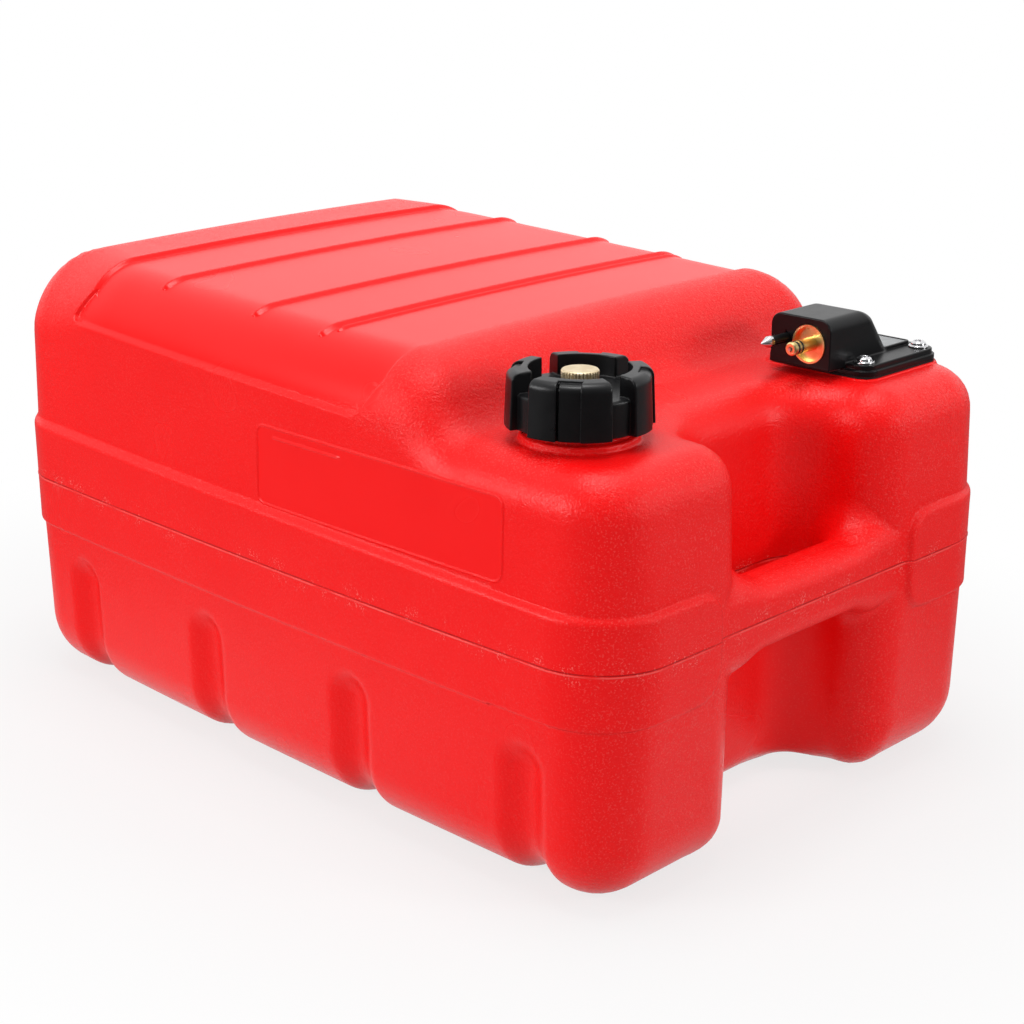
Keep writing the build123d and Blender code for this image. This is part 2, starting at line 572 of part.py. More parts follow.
def cap_shell():
    bore = NECK_RADIUS + THREAD_CLEARANCE
    roof = NECK_TOP + GASKET_THICKNESS
    cap = Cylinder(CAP_SKIRT_RADIUS, CAP_SKIRT_TOP - CAP_BOTTOM,
                   align=(Align.CENTER, Align.CENTER, Align.MIN))
    cap = Pos(0, 0, CAP_BOTTOM) * fillet(cap.edges().sort_by(Axis.Z)[-1], 2.5)
    cap -= rod(CAP_DISH_RADIUS, 0, 0, CAP_FLOOR, CAP_TOP)
    lobe = cap_lobe()
    for i in range(CAP_LOBES):
        cap += Rot(0, 0, LOBE_TURN + i * 360 / CAP_LOBES) * lobe
    cap -= rod(bore, 0, 0, CAP_BOTTOM - 1, roof)
    cap += rod(VENT_BUSH_RADIUS + VENT_HUB_WALL, 0, 0, VENT_BUSH_LOW, roof)
    cap -= rod(VENT_BUSH_RADIUS, 0, 0, VENT_BUSH_LOW, CAP_FLOOR)
    return Pos(NECK_X, NECK_Y, 0) * cap


def cap_gasket():
    ring = rod(NECK_RADIUS, NECK_X, NECK_Y, NECK_TOP, NECK_TOP + GASKET_THICKNESS)
    return ring - rod(NECK_BORE - GASKET_BORE_CLEARANCE, NECK_X, NECK_Y, NECK_TOP,
                      NECK_TOP + GASKET_THICKNESS)


def vent_bush():
    bush = rod(VENT_BUSH_RADIUS, NECK_X, NECK_Y, VENT_BUSH_LOW, CAP_FLOOR)
    return bush - rod(VENT_STEM_RADIUS + RUNNING_CLEARANCE, NECK_X, NECK_Y, VENT_BUSH_LOW, CAP_FLOOR)


def vent_screw():
    """Knurled knob and threaded stem, turned in one piece, with a groove for the clip."""
    foot = VENT_CLIP_Z - VENT_STEM_TAIL
    knob = rod(VENT_KNOB_RADIUS, 0, 0, VENT_KNOB_Z, VENT_KNOB_Z + VENT_KNOB_HEIGHT)
    knob = chamfer(knob.edges().sort_by(Axis.Z)[-1], VENT_KNURL_DEPTH)
    notch = Pos(VENT_KNOB_RADIUS, 0, VENT_KNOB_Z + VENT_KNOB_HEIGHT / 2) * Rot(0, 0, 45) * Box(
        VENT_KNURL_DEPTH * 1.6, VENT_KNURL_DEPTH * 1.6, 2 * VENT_KNOB_HEIGHT)
    for i in range(VENT_KNURLS):
        knob -= Rot(0, 0, i * 360 / VENT_KNURLS) * notch
    screw = knob + rod(VENT_STEM_RADIUS, 0, 0, foot, VENT_KNOB_Z)
    groove = rod(VENT_STEM_RADIUS + 1, 0, 0, VENT_CLIP_Z, VENT_CLIP_Z + VENT_CLIP_THICKNESS)
    groove -= rod(VENT_STEM_RADIUS - VENT_CLIP_GROOVE, 0, 0, VENT_CLIP_Z,
                  VENT_CLIP_Z + VENT_CLIP_THICKNESS)
    return Pos(NECK_X, NECK_Y, 0) * (screw - groove)


def vent_seal():
    ring = rod(VENT_SEAL_RADIUS, NECK_X, NECK_Y, VENT_SEAL_Z, VENT_KNOB_Z)
    return ring - rod(VENT_STEM_RADIUS + THREAD_CLEARANCE, NECK_X, NECK_Y, VENT_SEAL_Z, VENT_KNOB_Z)


def vent_clip():
    top = VENT_CLIP_Z + VENT_CLIP_THICKNESS
    ring = rod(VENT_CLIP_RADIUS, NECK_X, NECK_Y, VENT_CLIP_Z, top)
    return ring - rod(VENT_STEM_RADIUS - VENT_CLIP_GROOVE, NECK_X, NECK_Y, VENT_CLIP_Z, top)


# ---------------- fuel head ----------------

def head_box():
    """The connector box: it overhangs the plate towards the hand notch and slopes down at its back."""
    belly = PLATE_TOP - BOX_BELLY
    back = BOX_FACE + BOX_LENGTH
    lip = HEAD_X - PLATE_SIZE / 2 + PLATE_RADIUS
    side = make_face(Polyline((BOX_FACE, belly), (BOX_FACE, BOX_TOP), (back, BOX_TOP),
                              (back + BOX_BACK_SLOPE, PLATE_TOP), (back + BOX_BACK_SLOPE, PLATE_Z + 1),
                              (lip, PLATE_Z + 1), (lip, belly), close=True))
    side = fillet(side.vertices().filter_by(lambda v: near(v.X, back) and near(v.Y, BOX_TOP)),
                  BOX_BACK_RADIUS)
    shape = Plane(origin=(0, HEAD_Y, 0), x_dir=(1, 0, 0), z_dir=(0, -1, 0)) * side
    block = extrude(shape, BOX_WIDTH / 2, both=True)
    flanks = (HEAD_Y - BOX_WIDTH / 2, HEAD_Y + BOX_WIDTH / 2)

    def on_flank(edge):
        return near((edge @ 0).Y, (edge @ 1).Y) and any(near((edge @ 0.5).Y, y) for y in flanks)

    high = [e for e in block.edges() if on_flank(e) and e.center().Z > PLATE_TOP + 0.1
            and not near(e.center().X, BOX_FACE)]
    block = fillet(high, BOX_TOP_RADIUS)
    low = [e for e in block.edges() if near(e.center().Z, belly) and on_flank(e)]
    return fillet(low, BOX_LOW_RADIUS)


def head_housing():
    tier = PLATE_SIZE - 2 * PLATE_STEP
    housing = plate(PLATE_SIZE, PLATE_SIZE, PLATE_RADIUS, HEAD_X, HEAD_Y, PLATE_Z, PLATE_Z + PLATE_TIER)
    housing += plate(tier, tier, PLATE_RADIUS - PLATE_STEP, HEAD_X, HEAD_Y, PLATE_Z, PLATE_TOP)
    housing += head_box()
    housing += plate(WINDOW_LENGTH, WINDOW_WIDTH, WINDOW_RADIUS, WINDOW_X, HEAD_Y, PLATE_Z + 1, WINDOW_TOP)
    spigot = HEAD_HOLE_RADIUS - SPIGOT_CLEARANCE
    housing += (rod(spigot, HEAD_X, HEAD_Y, PLATE_Z - SPIGOT_LENGTH, PLATE_Z + 1)
                - rod(spigot - SPIGOT_WALL, HEAD_X, HEAD_Y, PLATE_Z - SPIGOT_LENGTH, PLATE_Z))
    # pocket for the gauge's drum, dial and lens
    length, width = WINDOW_LENGTH - 2 * WINDOW_WALL, WINDOW_WIDTH - 2 * WINDOW_WALL
    radius = WINDOW_RADIUS - WINDOW_WALL
    housing -= plate(length, width, radius, WINDOW_X, HEAD_Y, DIAL_Z, WINDOW_TOP + 1)
    housing -= rod(DRUM_RADIUS + DRUM_GAP, GAUGE_X, HEAD_Y, POCKET_FLOOR, DIAL_Z)
    housing -= rod(SHAFT_RADIUS + SHAFT_CLEARANCE, GAUGE_X, HEAD_Y, PLATE_Z - 1, POCKET_FLOOR)
    for x, y in SCREW_PLACES:
        housing -= rod(SCREW_RADIUS + SCREW_CLEARANCE, x, y, PLATE_Z - 1, PLATE_TOP + 1)
    # nipple, guide pin and fuel way
    housing -= level_rod(CUP_RADIUS, NIPPLE_Y, NIPPLE_Z, BOX_FACE - 1, CUP_BACK)
    housing -= level_rod(SHANK_RADIUS, NIPPLE_Y, NIPPLE_Z, BOX_FACE, SHANK_END)
    housing -= level_rod(PICKUP_RADIUS - PICKUP_WALL, NIPPLE_Y, NIPPLE_Z, SHANK_END - 1, PICKUP_X)
    housing -= level_rod(PIN_SLEEVE_RADIUS, PIN_Y, PIN_Z, BOX_FACE - 1, BOX_FACE + PIN_DEPTH)
    housing -= rod(PICKUP_RADIUS - PICKUP_WALL, PICKUP_X, NIPPLE_Y, PLATE_Z, NIPPLE_Z)
    housing -= rod(PICKUP_RADIUS + PRESS_GAP, PICKUP_X, NIPPLE_Y, PLATE_Z - 1, PLATE_Z + PICKUP_SOCKET)
    return housing


def head_gasket():
    gasket = plate(PLATE_SIZE, PLATE_SIZE, PLATE_RADIUS, HEAD_X, HEAD_Y, SEAT_Z, PLATE_Z)
    gasket -= rod(HEAD_HOLE_RADIUS, HEAD_X, HEAD_Y, SEAT_Z, PLATE_Z)
    for x, y in SCREW_PLACES:
        gasket -= rod(SCREW_RADIUS + SCREW_CLEARANCE, x, y, SEAT_Z, PLATE_Z)
    return gasket


def housing_screw():
    """A pan head screw with a flange and a cross recess, its flange resting on z = 0."""
    head_top = SCREW_FLANGE_THICKNESS + SCREW_HEAD_HEIGHT
    screw = rod(SCREW_FLANGE_RADIUS, 0, 0, 0, SCREW_FLANGE_THICKNESS)
    head = rod(SCREW_HEAD_RADIUS, 0, 0, 0, head_top)
    screw += fillet(head.edges().sort_by(Axis.Z)[-1], SCREW_HEAD_HEIGHT * 0.6)
    screw += rod(SCREW_RADIUS, 0, 0, -SCREW_LENGTH, 0.5)
    for turn in (0, 90):
        screw -= Rot(0, 0, turn) * Pos(0, 0, head_top) * Box(
            SCREW_CROSS_LENGTH, SCREW_CROSS_WIDTH, 2 * SCREW_CROSS_DEPTH)
    return screw


def housing_screws():
    return [Pos(x, y, PLATE_TOP) * housing_screw() for x, y in SCREW_PLACES]


def threaded_inserts():
    low = SEAT_Z - INSERT_LENGTH
    return [rod(INSERT_RADIUS, x, y, low, SEAT_Z) - rod(SCREW_RADIUS, x, y, low, SEAT_Z)
            for x, y in SCREW_PLACES]


def nipple_body():
    """Turned brass: grooved stem, recessed cup in the box's face and a shank that holds the valve."""
    stem = level_rod(NIPPLE_RADIUS, NIPPLE_Y, NIPPLE_Z, NIPPLE_TIP, CUP_BACK)
    stem = chamfer(stem.edges().sort_by(Axis.X)[0], NIPPLE_TIP_CHAMFER)
    for place in RING_GROOVES_FROM_TIP:
        start = NIPPLE_TIP + place
        stem -= (level_rod(NIPPLE_RADIUS + 1, NIPPLE_Y, NIPPLE_Z, start, start + RING_GROOVE_WIDTH)
                 - level_rod(NIPPLE_RADIUS - RING_GROOVE_DEPTH, NIPPLE_Y, NIPPLE_Z,
                             start, start + RING_GROOVE_WIDTH))
    face = BOX_FACE - CUP_PROUD
    cup = level_rod(CUP_RADIUS, NIPPLE_Y, NIPPLE_Z, face, CUP_BACK)
    cup -= level_rod(CUP_RADIUS - CUP_RIM, NIPPLE_Y, NIPPLE_Z, face, face + CUP_DEPTH)
    nipple = stem + cup + level_rod(SHANK_RADIUS, NIPPLE_Y, NIPPLE_Z, CUP_BACK, SHANK_END)
    nipple -= level_rod(NIPPLE_BORE, NIPPLE_Y, NIPPLE_Z, NIPPLE_TIP - 1, CHAMBER_START)
    return nipple - level_rod(CHAMBER_RADIUS, NIPPLE_Y, NIPPLE_Z, CHAMBER_START, SHANK_END)


def nipple_rings():
    """Two sealing rings, seated in the stem's grooves."""
    rings = []
    for place in RING_GROOVES_FROM_TIP:
        start = NIPPLE_TIP + place
        end = start + RING_GROOVE_WIDTH
        rings.append(level_rod(NIPPLE_RADIUS, NIPPLE_Y, NIPPLE_Z, start, end)
                     - level_rod(NIPPLE_RADIUS - RING_GROOVE_DEPTH, NIPPLE_Y, NIPPLE_Z, start, end))
    return rings


def valve_poppet():
    pin = level_rod(POPPET_PIN_RADIUS, NIPPLE_Y, NIPPLE_Z, NIPPLE_TIP - POPPET_PROUD, POPPET_HEAD_START)
    return pin + level_rod(POPPET_HEAD_RADIUS, NIPPLE_Y, NIPPLE_Z, POPPET_HEAD_START, SPRING_START)


def valve_seat():
    plug = level_rod(CHAMBER_RADIUS, NIPPLE_Y, NIPPLE_Z, SPRING_END, SHANK_END)
    return plug - level_rod(SEAT_PLUG_BORE, NIPPLE_Y, NIPPLE_Z, SPRING_END, SHANK_END)


def valve_spring():
    """A coil spring between the poppet's head and the plug."""
    length = SPRING_END - SPRING_START - 2 * SPRING_WIRE_RADIUS
    path = Helix(length / SPRING_COILS, length, SPRING_RADIUS)
    wire = Plane(origin=path @ 0, z_dir=path % 0) * RegularPolygon(SPRING_WIRE_RADIUS, 6)
    coil = sweep(wire, path, is_frenet=True)
    return Pos(SPRING_START + SPRING_WIRE_RADIUS, NIPPLE_Y, NIPPLE_Z) * Rot(0, 90, 0) * coil


def guide_pin():
    """The pin that lines up the hose connector: a slim core with a pointed head."""
    end = BOX_FACE + PIN_DEPTH
    core = level_rod(PIN_RADIUS, PIN_Y, PIN_Z, PIN_TIP + PIN_TIP_CONE, end)
    core += level_rod(PIN_TIP_RADIUS, PIN_Y, PIN_Z, PIN_TIP + PIN_TIP_CONE, PIN_SLEEVE_START)
    cone = Cone(PIN_TIP_RADIUS, 0.3, PIN_TIP_CONE, align=(Align.CENTER, Align.CENTER, Align.MIN))
    return core + Pos(PIN_TIP + PIN_TIP_CONE, PIN_Y, PIN_Z) * Rot(0, -90, 0) * cone


def pin_sleeve():
    end = BOX_FACE + PIN_DEPTH
    tube = level_rod(PIN_SLEEVE_RADIUS, PIN_Y, PIN_Z, PIN_SLEEVE_START, end)
    return tube - level_rod(PIN_RADIUS, PIN_Y, PIN_Z, PIN_SLEEVE_START, end)


def pickup_tube():
    top = PLATE_Z + PICKUP_SOCKET
    tube = rod(PICKUP_RADIUS, PICKUP_X, NIPPLE_Y, PICKUP_FOOT, top)
    return tube - rod(PICKUP_RADIUS - PICKUP_WALL, PICKUP_X, NIPPLE_Y, PICKUP_FOOT, top)


def pickup_strainer():
    """A slotted basket pushed on the foot of the pick-up tube."""
    top = STRAINER_FOOT + STRAINER_LENGTH
    collar = STRAINER_LENGTH / 4
    basket = rod(STRAINER_RADIUS, 0, 0, STRAINER_FOOT, top)
    basket -= rod(PICKUP_RADIUS + PRESS_GAP, 0, 0, PICKUP_FOOT, top)
    basket -= rod(STRAINER_RADIUS - STRAINER_WALL, 0, 0, STRAINER_FOOT + STRAINER_WALL, top - collar)
    middle = (STRAINER_FOOT + top - collar + STRAINER_WALL) / 2
    slot = Pos(STRAINER_RADIUS, 0, middle) * Box(
        STRAINER_RADIUS, STRAINER_SLOT_WIDTH, STRAINER_LENGTH - collar - 3 * STRAINER_WALL)
    for i in range(STRAINER_SLOTS):
        basket -= Rot(0, 0, i * 360 / STRAINER_SLOTS) * slot
    return Pos(PICKUP_X, NIPPLE_Y, 0) * basket


# ---------------- float gauge ----------------

def gauge_lens():
    length, width = WINDOW_LENGTH - 2 * (WINDOW_WALL + LENS_GAP), WINDOW_WIDTH - 2 * (WINDOW_WALL + LENS_GAP)
    return plate(length, width, WINDOW_RADIUS - WINDOW_WALL - LENS_GAP, WINDOW_X, HEAD_Y,
                 LENS_Z, LENS_Z + LENS_THICKNESS)


def gauge_dial():
    """The fixed dial under the lens. Its curved slot shows the drum's mark."""
    length, width = WINDOW_LENGTH - 2 * (WINDOW_WALL + LENS_GAP), WINDOW_WIDTH - 2 * (WINDOW_WALL + LENS_GAP)
    dial = plate(length, width, WINDOW_RADIUS - WINDOW_WALL - LENS_GAP, WINDOW_X, HEAD_Y, DIAL_Z, LENS_Z)
    half = DIAL_SLOT_WIDTH / 2
    slot = (rod(DIAL_SLOT_RADIUS + half, GAUGE_X, HEAD_Y, DIAL_Z, LENS_Z)
            - rod(DIAL_SLOT_RADIUS - half, GAUGE_X, HEAD_Y, DIAL_Z, LENS_Z))
    outer_side = Pos(GAUGE_X + DRUM_RADIUS, HEAD_Y, LENS_Z) * Box(
        2 * DRUM_RADIUS, 4 * DRUM_RADIUS, 4 * DIAL_THICKNESS)
    return dial - (slot & outer_side)


def gauge_strip():
    """A flat strip twisted along its length, with a round journal at each end that turns in the frame."""
    low, high = GAUGE_INNER_LOW + FLOAT_END_GAP / 2, GAUGE_INNER_TOP - FLOAT_END_GAP / 2
    length = high - low
    flat = Rectangle(STRIP_WIDTH, STRIP_THICKNESS).face()
    twisted = Solid.extrude_linear_with_rotation(flat, (0, 0, 0), (0, 0, length), TWIST_RATE * length)
    start = -TWIST_RATE * (FLOAT_PLATE_Z + FLOAT_PLATE_THICKNESS / 2 - low)
    strip = Pos(0, 0, low) * Rot(0, 0, start) * twisted
    root = FLOAT_END_GAP / 4
    strip += rod(SHAFT_RADIUS, 0, 0, GAUGE_FOOT + SHAFT_CLEARANCE, low + root)
    strip += rod(SHAFT_RADIUS, 0, 0, high - root, DRUM_Z)
    return Pos(GAUGE_X, HEAD_Y, 0) * strip


def gauge_drum():
    return rod(DRUM_RADIUS, GAUGE_X, HEAD_Y, DRUM_Z, DRUM_Z + DRUM_THICKNESS)


def gauge_frame():
    """Two discs joined by two rails. The float rides the rails, and the discs carry the strip."""
    hole = SHAFT_RADIUS + SHAFT_CLEARANCE
    frame = rod(FRAME_DISC_RADIUS, 0, 0, GAUGE_FOOT, GAUGE_INNER_LOW)
    frame += rod(FRAME_DISC_RADIUS, 0, 0, GAUGE_INNER_TOP, GAUGE_TOP)
    frame += (rod(COLLAR_RADIUS, 0, 0, GAUGE_TOP, PLATE_Z)
              - rod(COLLAR_RADIUS - COLLAR_WALL, 0, 0, GAUGE_TOP, PLATE_Z))
    frame -= rod(hole, 0, 0, GAUGE_FOOT, GAUGE_TOP)
    height = GAUGE_INNER_TOP - GAUGE_INNER_LOW
    for side in (-1, 1):
        frame += Pos(0, side * RAIL_RADIUS, (GAUGE_INNER_TOP + GAUGE_INNER_LOW) / 2) * Box(
            RAIL_WIDTH, RAIL_DEPTH, height)
    return Pos(GAUGE_X, HEAD_Y, 0) * frame


def gauge_float():
    body = rod(FLOAT_RADIUS, 0, 0, FLOAT_Z, FLOAT_PLATE_Z)
    body = fillet(body.edges(), 1.0)
    body -= rod(FLOAT_BORE, 0, 0, FLOAT_Z, FLOAT_PLATE_Z)
    for side in (-1, 1):
        body -= Pos(0, side * RAIL_RADIUS, FLOAT_Z) * Box(
            RAIL_WIDTH + 2 * RAIL_CLEARANCE, RAIL_DEPTH + 2 * RAIL_CLEARANCE, 4 * FLOAT_LENGTH)
    return Pos(GAUGE_X, HEAD_Y, 0) * body


def float_plate():
    """The slotted plate on the float. The strip runs through it, and has to turn as it rises."""
    disc = rod(FLOAT_PLATE_RADIUS, 0, 0, FLOAT_PLATE_Z, FLOAT_PLATE_Z + FLOAT_PLATE_THICKNESS)
    slot = Pos(0, 0, FLOAT_PLATE_Z) * Box(STRIP_WIDTH + 2 * SLOT_CLEARANCE,
                                          STRIP_THICKNESS + 2 * SLOT_CLEARANCE,
                                          4 * FLOAT_PLATE_THICKNESS)
    return Pos(GAUGE_X, HEAD_Y, 0) * (disc - slot)


PIECES = {
    "tank_shell": tank_shell,
    "threaded_inserts": threaded_inserts,
    "cap_shell": cap_shell,
    "cap_gasket": cap_gasket,
    "vent_bush": vent_bush,
    "vent_screw": vent_screw,
    "vent_seal": vent_seal,
    "vent_clip": vent_clip,
    "head_housing": head_housing,
    "head_gasket": head_gasket,
    "housing_screws": housing_screws,
    "nipple_body": nipple_body,
    "nipple_rings": nipple_rings,
    "valve_poppet": valve_poppet,
    "valve_spring": valve_spring,
    "valve_seat": valve_seat,
    "guide_pin": guide_pin,
    "pin_sleeve": pin_sleeve,
    "pickup_tube": pickup_tube,
    "pickup_strainer": pickup_strainer,
    "gauge_lens": gauge_lens,
    "gauge_dial": gauge_dial,
    "gauge_drum": gauge_drum,
    "gauge_strip": gauge_strip,
    "gauge_frame": gauge_frame,
    "gauge_float": gauge_float,
    "float_plate": float_plate,
}

os.makedirs("parts", exist_ok=True)
for name, make in PIECES.items():
    made = make()
    piece = Compound(children=made) if isinstance(made, list) else made
    export_step(piece, f"parts/{name}.step")
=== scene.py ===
import math

import bpy
import numpy as np
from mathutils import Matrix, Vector


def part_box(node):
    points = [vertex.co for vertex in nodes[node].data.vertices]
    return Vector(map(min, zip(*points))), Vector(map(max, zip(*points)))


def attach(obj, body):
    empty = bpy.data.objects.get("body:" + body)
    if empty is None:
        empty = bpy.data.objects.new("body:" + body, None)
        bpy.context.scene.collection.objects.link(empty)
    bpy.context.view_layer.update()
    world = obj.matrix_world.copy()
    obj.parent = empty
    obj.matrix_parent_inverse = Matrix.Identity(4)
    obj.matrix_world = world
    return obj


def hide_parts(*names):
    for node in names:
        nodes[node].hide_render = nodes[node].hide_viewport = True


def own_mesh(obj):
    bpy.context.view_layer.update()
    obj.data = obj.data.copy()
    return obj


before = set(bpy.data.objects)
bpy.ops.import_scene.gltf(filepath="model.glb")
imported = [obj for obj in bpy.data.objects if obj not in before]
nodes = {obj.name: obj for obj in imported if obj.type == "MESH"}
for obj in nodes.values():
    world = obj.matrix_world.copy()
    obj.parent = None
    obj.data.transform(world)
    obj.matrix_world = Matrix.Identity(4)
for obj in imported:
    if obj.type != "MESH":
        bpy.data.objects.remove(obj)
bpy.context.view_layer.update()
MM = 0.001

# ==== Tank shell ====
# One hollow moulding of red polyethylene, blown in a mould of two halves that meet half way up.
# The moulding carries its own hand notch and bar, a raised band, stiffening grooves and the filler neck.
# Sizes are in millimetres, measured from the middle of the footprint.
LENGTH, HALF_LENGTH, HALF_WIDTH = 520.0, 257.2, 172.2
SIDE_BOW, UPPER_DRAFT, LOWER_DRAFT = 4.5, 0.03, 0.0175
CORNER, FOOT, NOTCH_FOOT = 37, 37, 20
TOP, TOP_FALL, CREST = 281.6, 0.033, 229.2
CROWN, TILT, CROWN_REACH = 2.0, 1.5, 150
DECK, SEAM = 232.0, 133.6
STEP, LEAN, BROW, STEP_FILLET = -135.0, math.radians(8), 34, 15
DECK_SHOULDER, TOP_SHOULDER, REAR_SHOULDER = 23, 37, 54
PANEL_FRONT, PANEL_REAR, PANEL_DROP, PANEL_DEPTH = -93, 172, 39, 2.5
NOTCH_HALF, NOTCH_BACK, NOTCH_CORNER, PILLAR_CORNER = 56.0, -199.2, 30, 28
BAR, BAR_HALF_DEPTH, BAR_HALF_HEIGHT, BAR_ROUNDING, BAR_SWELL = -241.6, 15, 20, 13, 8
BAND_LOW, BAND_TOP_FRONT, BAND_TOP_REAR, BAND_PROUD, BAND_GAP = 103.0, 163.5, 172.0, 2.8, 83.0
BAND_CORNER, BAND_EDGE, BAND_SILL, BAND_END, BAND_FILLET = 43, 5, 2.2, 18, 2.0
GROOVES = (187.0, 58.0, -71.0, -200.0)
GROOVE_RADIUS, GROOVE_OUT, GROOVE_TIP, GROOVE_LIP = 12.1, 5.1, 72, 7
HEAD, SEAT_HALF, SEAT_CORNER, SEAT_TOP = (118.0, -188.0), 38, 11, 232.5
NECK, COLLAR, SPOUT, BORE = (-113.0, -187.0), (30.5, 236), (27, 252.5), (22, 226)
UNDER_DECK, FAR_OFF = 225, 99.0


def ramp(value, start, end):
    """0 up to start, 1 from end, with a smooth climb between."""
    t = np.clip((value - start) / (end - start), 0, 1)
    return t * t * (3 - 2 * t)


def meet(a, b, radius):
    """Where two forms overlap, with its edge rounded."""
    reach = np.hypot(np.maximum(a + radius, 0), np.maximum(b + radius, 0))
    return np.minimum(np.maximum(a, b), -radius) + reach


def join(a, b, radius):
    """Two forms as one, with a fillet in the corner between them."""
    return -meet(-a, -b, radius)


def band_top(y):
    """Height of the raised band's upper edge, which climbs towards the rear."""
    return BAND_TOP_FRONT + (BAND_TOP_REAR - BAND_TOP_FRONT) * (y + LENGTH / 2) / LENGTH


def ceiling(y):
    """Height of the main top, which falls from the rear towards the step."""
    return TOP - TOP_FALL * (CREST - y)


def panel_form(y, z):
    """Negative inside the recessed top panel, as seen from the side."""
    depth = ceiling(y) - z
    sweep = np.clip((depth - 18) / 21, 0, 1.5)
    front = (PANEL_FRONT + 13 * sweep) - y
    rear = y - (PANEL_REAR + 15 * sweep)
    return meet(meet(front, depth - PANEL_DROP, 7), rear, 7)


def tank_form(points):
    """How far each point lies outside the tank's skin, negative inside."""
    x, y, z = points.T
    across = np.abs(x)
    side = across - HALF_WIDTH + SIDE_BOW * (y / HALF_LENGTH) ** 2
    end = np.abs(y) - HALF_LENGTH
    draft = np.where(z > SEAM, (z - SEAM) * UPPER_DRAFT, (SEAM - z) * LOWER_DRAFT)
    notch = meet(across - NOTCH_HALF, y - NOTCH_BACK, NOTCH_CORNER)
    walls = meet(meet(side, end, CORNER), -notch, PILLAR_CORNER) + draft

    face = (STEP + (z - DECK) * math.tan(LEAN) - y) * math.cos(LEAN)
    crown = CROWN * (x / CROWN_REACH) ** 2 - TILT * x / CROWN_REACH
    top = join(z - DECK, meet(z - ceiling(y) + crown, face, BROW), STEP_FILLET)
    shoulder = DECK_SHOULDER + (TOP_SHOULDER - DECK_SHOULDER) * ramp(y, -165, -80)
    shoulder = shoulder + (REAR_SHOULDER - TOP_SHOULDER) * ramp(y, 150, 235)
    foot = FOOT - (FOOT - NOTCH_FOOT) * (1 - ramp(across, 48, 88)) * (1 - ramp(y, -195, -145))
    body = meet(meet(walls, top, shoulder), -z, foot)

    flank = meet(side + draft, -z, FOOT) - GROOVE_OUT
    for place in GROOVES:
        over_tip = np.maximum(z - GROOVE_TIP, 0)
        groove = np.sqrt(flank ** 2 + (y - place) ** 2 + over_tip ** 2) - GROOVE_RADIUS
        body = meet(body, -groove, GROOVE_LIP)

    middle, half = (BAND_LOW + band_top(y)) / 2, (band_top(y) - BAND_LOW) / 2
    hoop = meet(side - BAND_PROUD, end - BAND_PROUD, BAND_CORNER)
    hoop = meet(meet(hoop, z - band_top(y), BAND_EDGE), BAND_LOW - z, BAND_SILL)
    gap = meet(BAND_GAP - across, np.abs(z - middle) - half, BAND_END)
    hoop = np.where(y < -180, meet(hoop, gap, 3), hoop)
    body = join(body, hoop, BAND_FILLET)

    swell = BAR_SWELL * ramp(across, 38, 62)
    bar = meet(np.abs(y - BAR - swell / 2) - BAR_HALF_DEPTH - swell / 2,
               np.abs(z - SEAM) - BAR_HALF_HEIGHT - swell, BAR_ROUNDING + swell / 2)
    bar = bar + 14 * ramp(across, 74, 98) + 40 * ramp(across, 90, 130)
    body = join(body, bar, 1.5 + 10.5 * ramp(y, -255, -234))

    seat = meet(np.abs(x - HEAD[0]) - SEAT_HALF, np.abs(y - HEAD[1]) - SEAT_HALF, SEAT_CORNER)
    seat = meet(seat, z - SEAT_TOP, 0.4)
    body = join(body, np.where(z > UNDER_DECK, seat, FAR_OFF), 0.8)
    radial = np.hypot(x - NECK[0], y - NECK[1])
    collar = meet(radial - COLLAR[0], z - COLLAR[1], 1.5)
    spout = meet(radial - SPOUT[0], z - SPOUT[1], 1)
    bore = meet(radial - BORE[0], BORE[1] - z, 1)
    body = join(body, np.where(z > UNDER_DECK, collar, FAR_OFF), 1.5)
    body = join(body, np.where(z > UNDER_DECK, spout, FAR_OFF), 1)
    body = np.maximum(body, -bore)
    return body + PANEL_DEPTH * (1 - ramp(panel_form(y, z), -2.6, 1.2)) * ramp(z, 200, 210)


def slope(form, points, step=0.02):
    """The form's gradient at the points."""
    shifts = np.eye(3) * step
    return np.stack([form(points + s) - form(points - s) for s in shifts], axis=1) / (2 * step)


def facing(form, points, step=0.05):
    """The way that the form's surface faces at the points."""
    normals = slope(form, points, step)
    return normals / np.linalg.norm(normals, axis=1)[:, None]


def settle(form, points, rounds):
    """Moves points straight on to the form's surface."""
    for _ in range(rounds):
        gradient = slope(form, points)
        length = np.maximum((gradient ** 2).sum(1), 0.04)
        move = (form(points) / length)[:, None] * gradient
        points = points - np.clip(move, -4, 4)
    return points


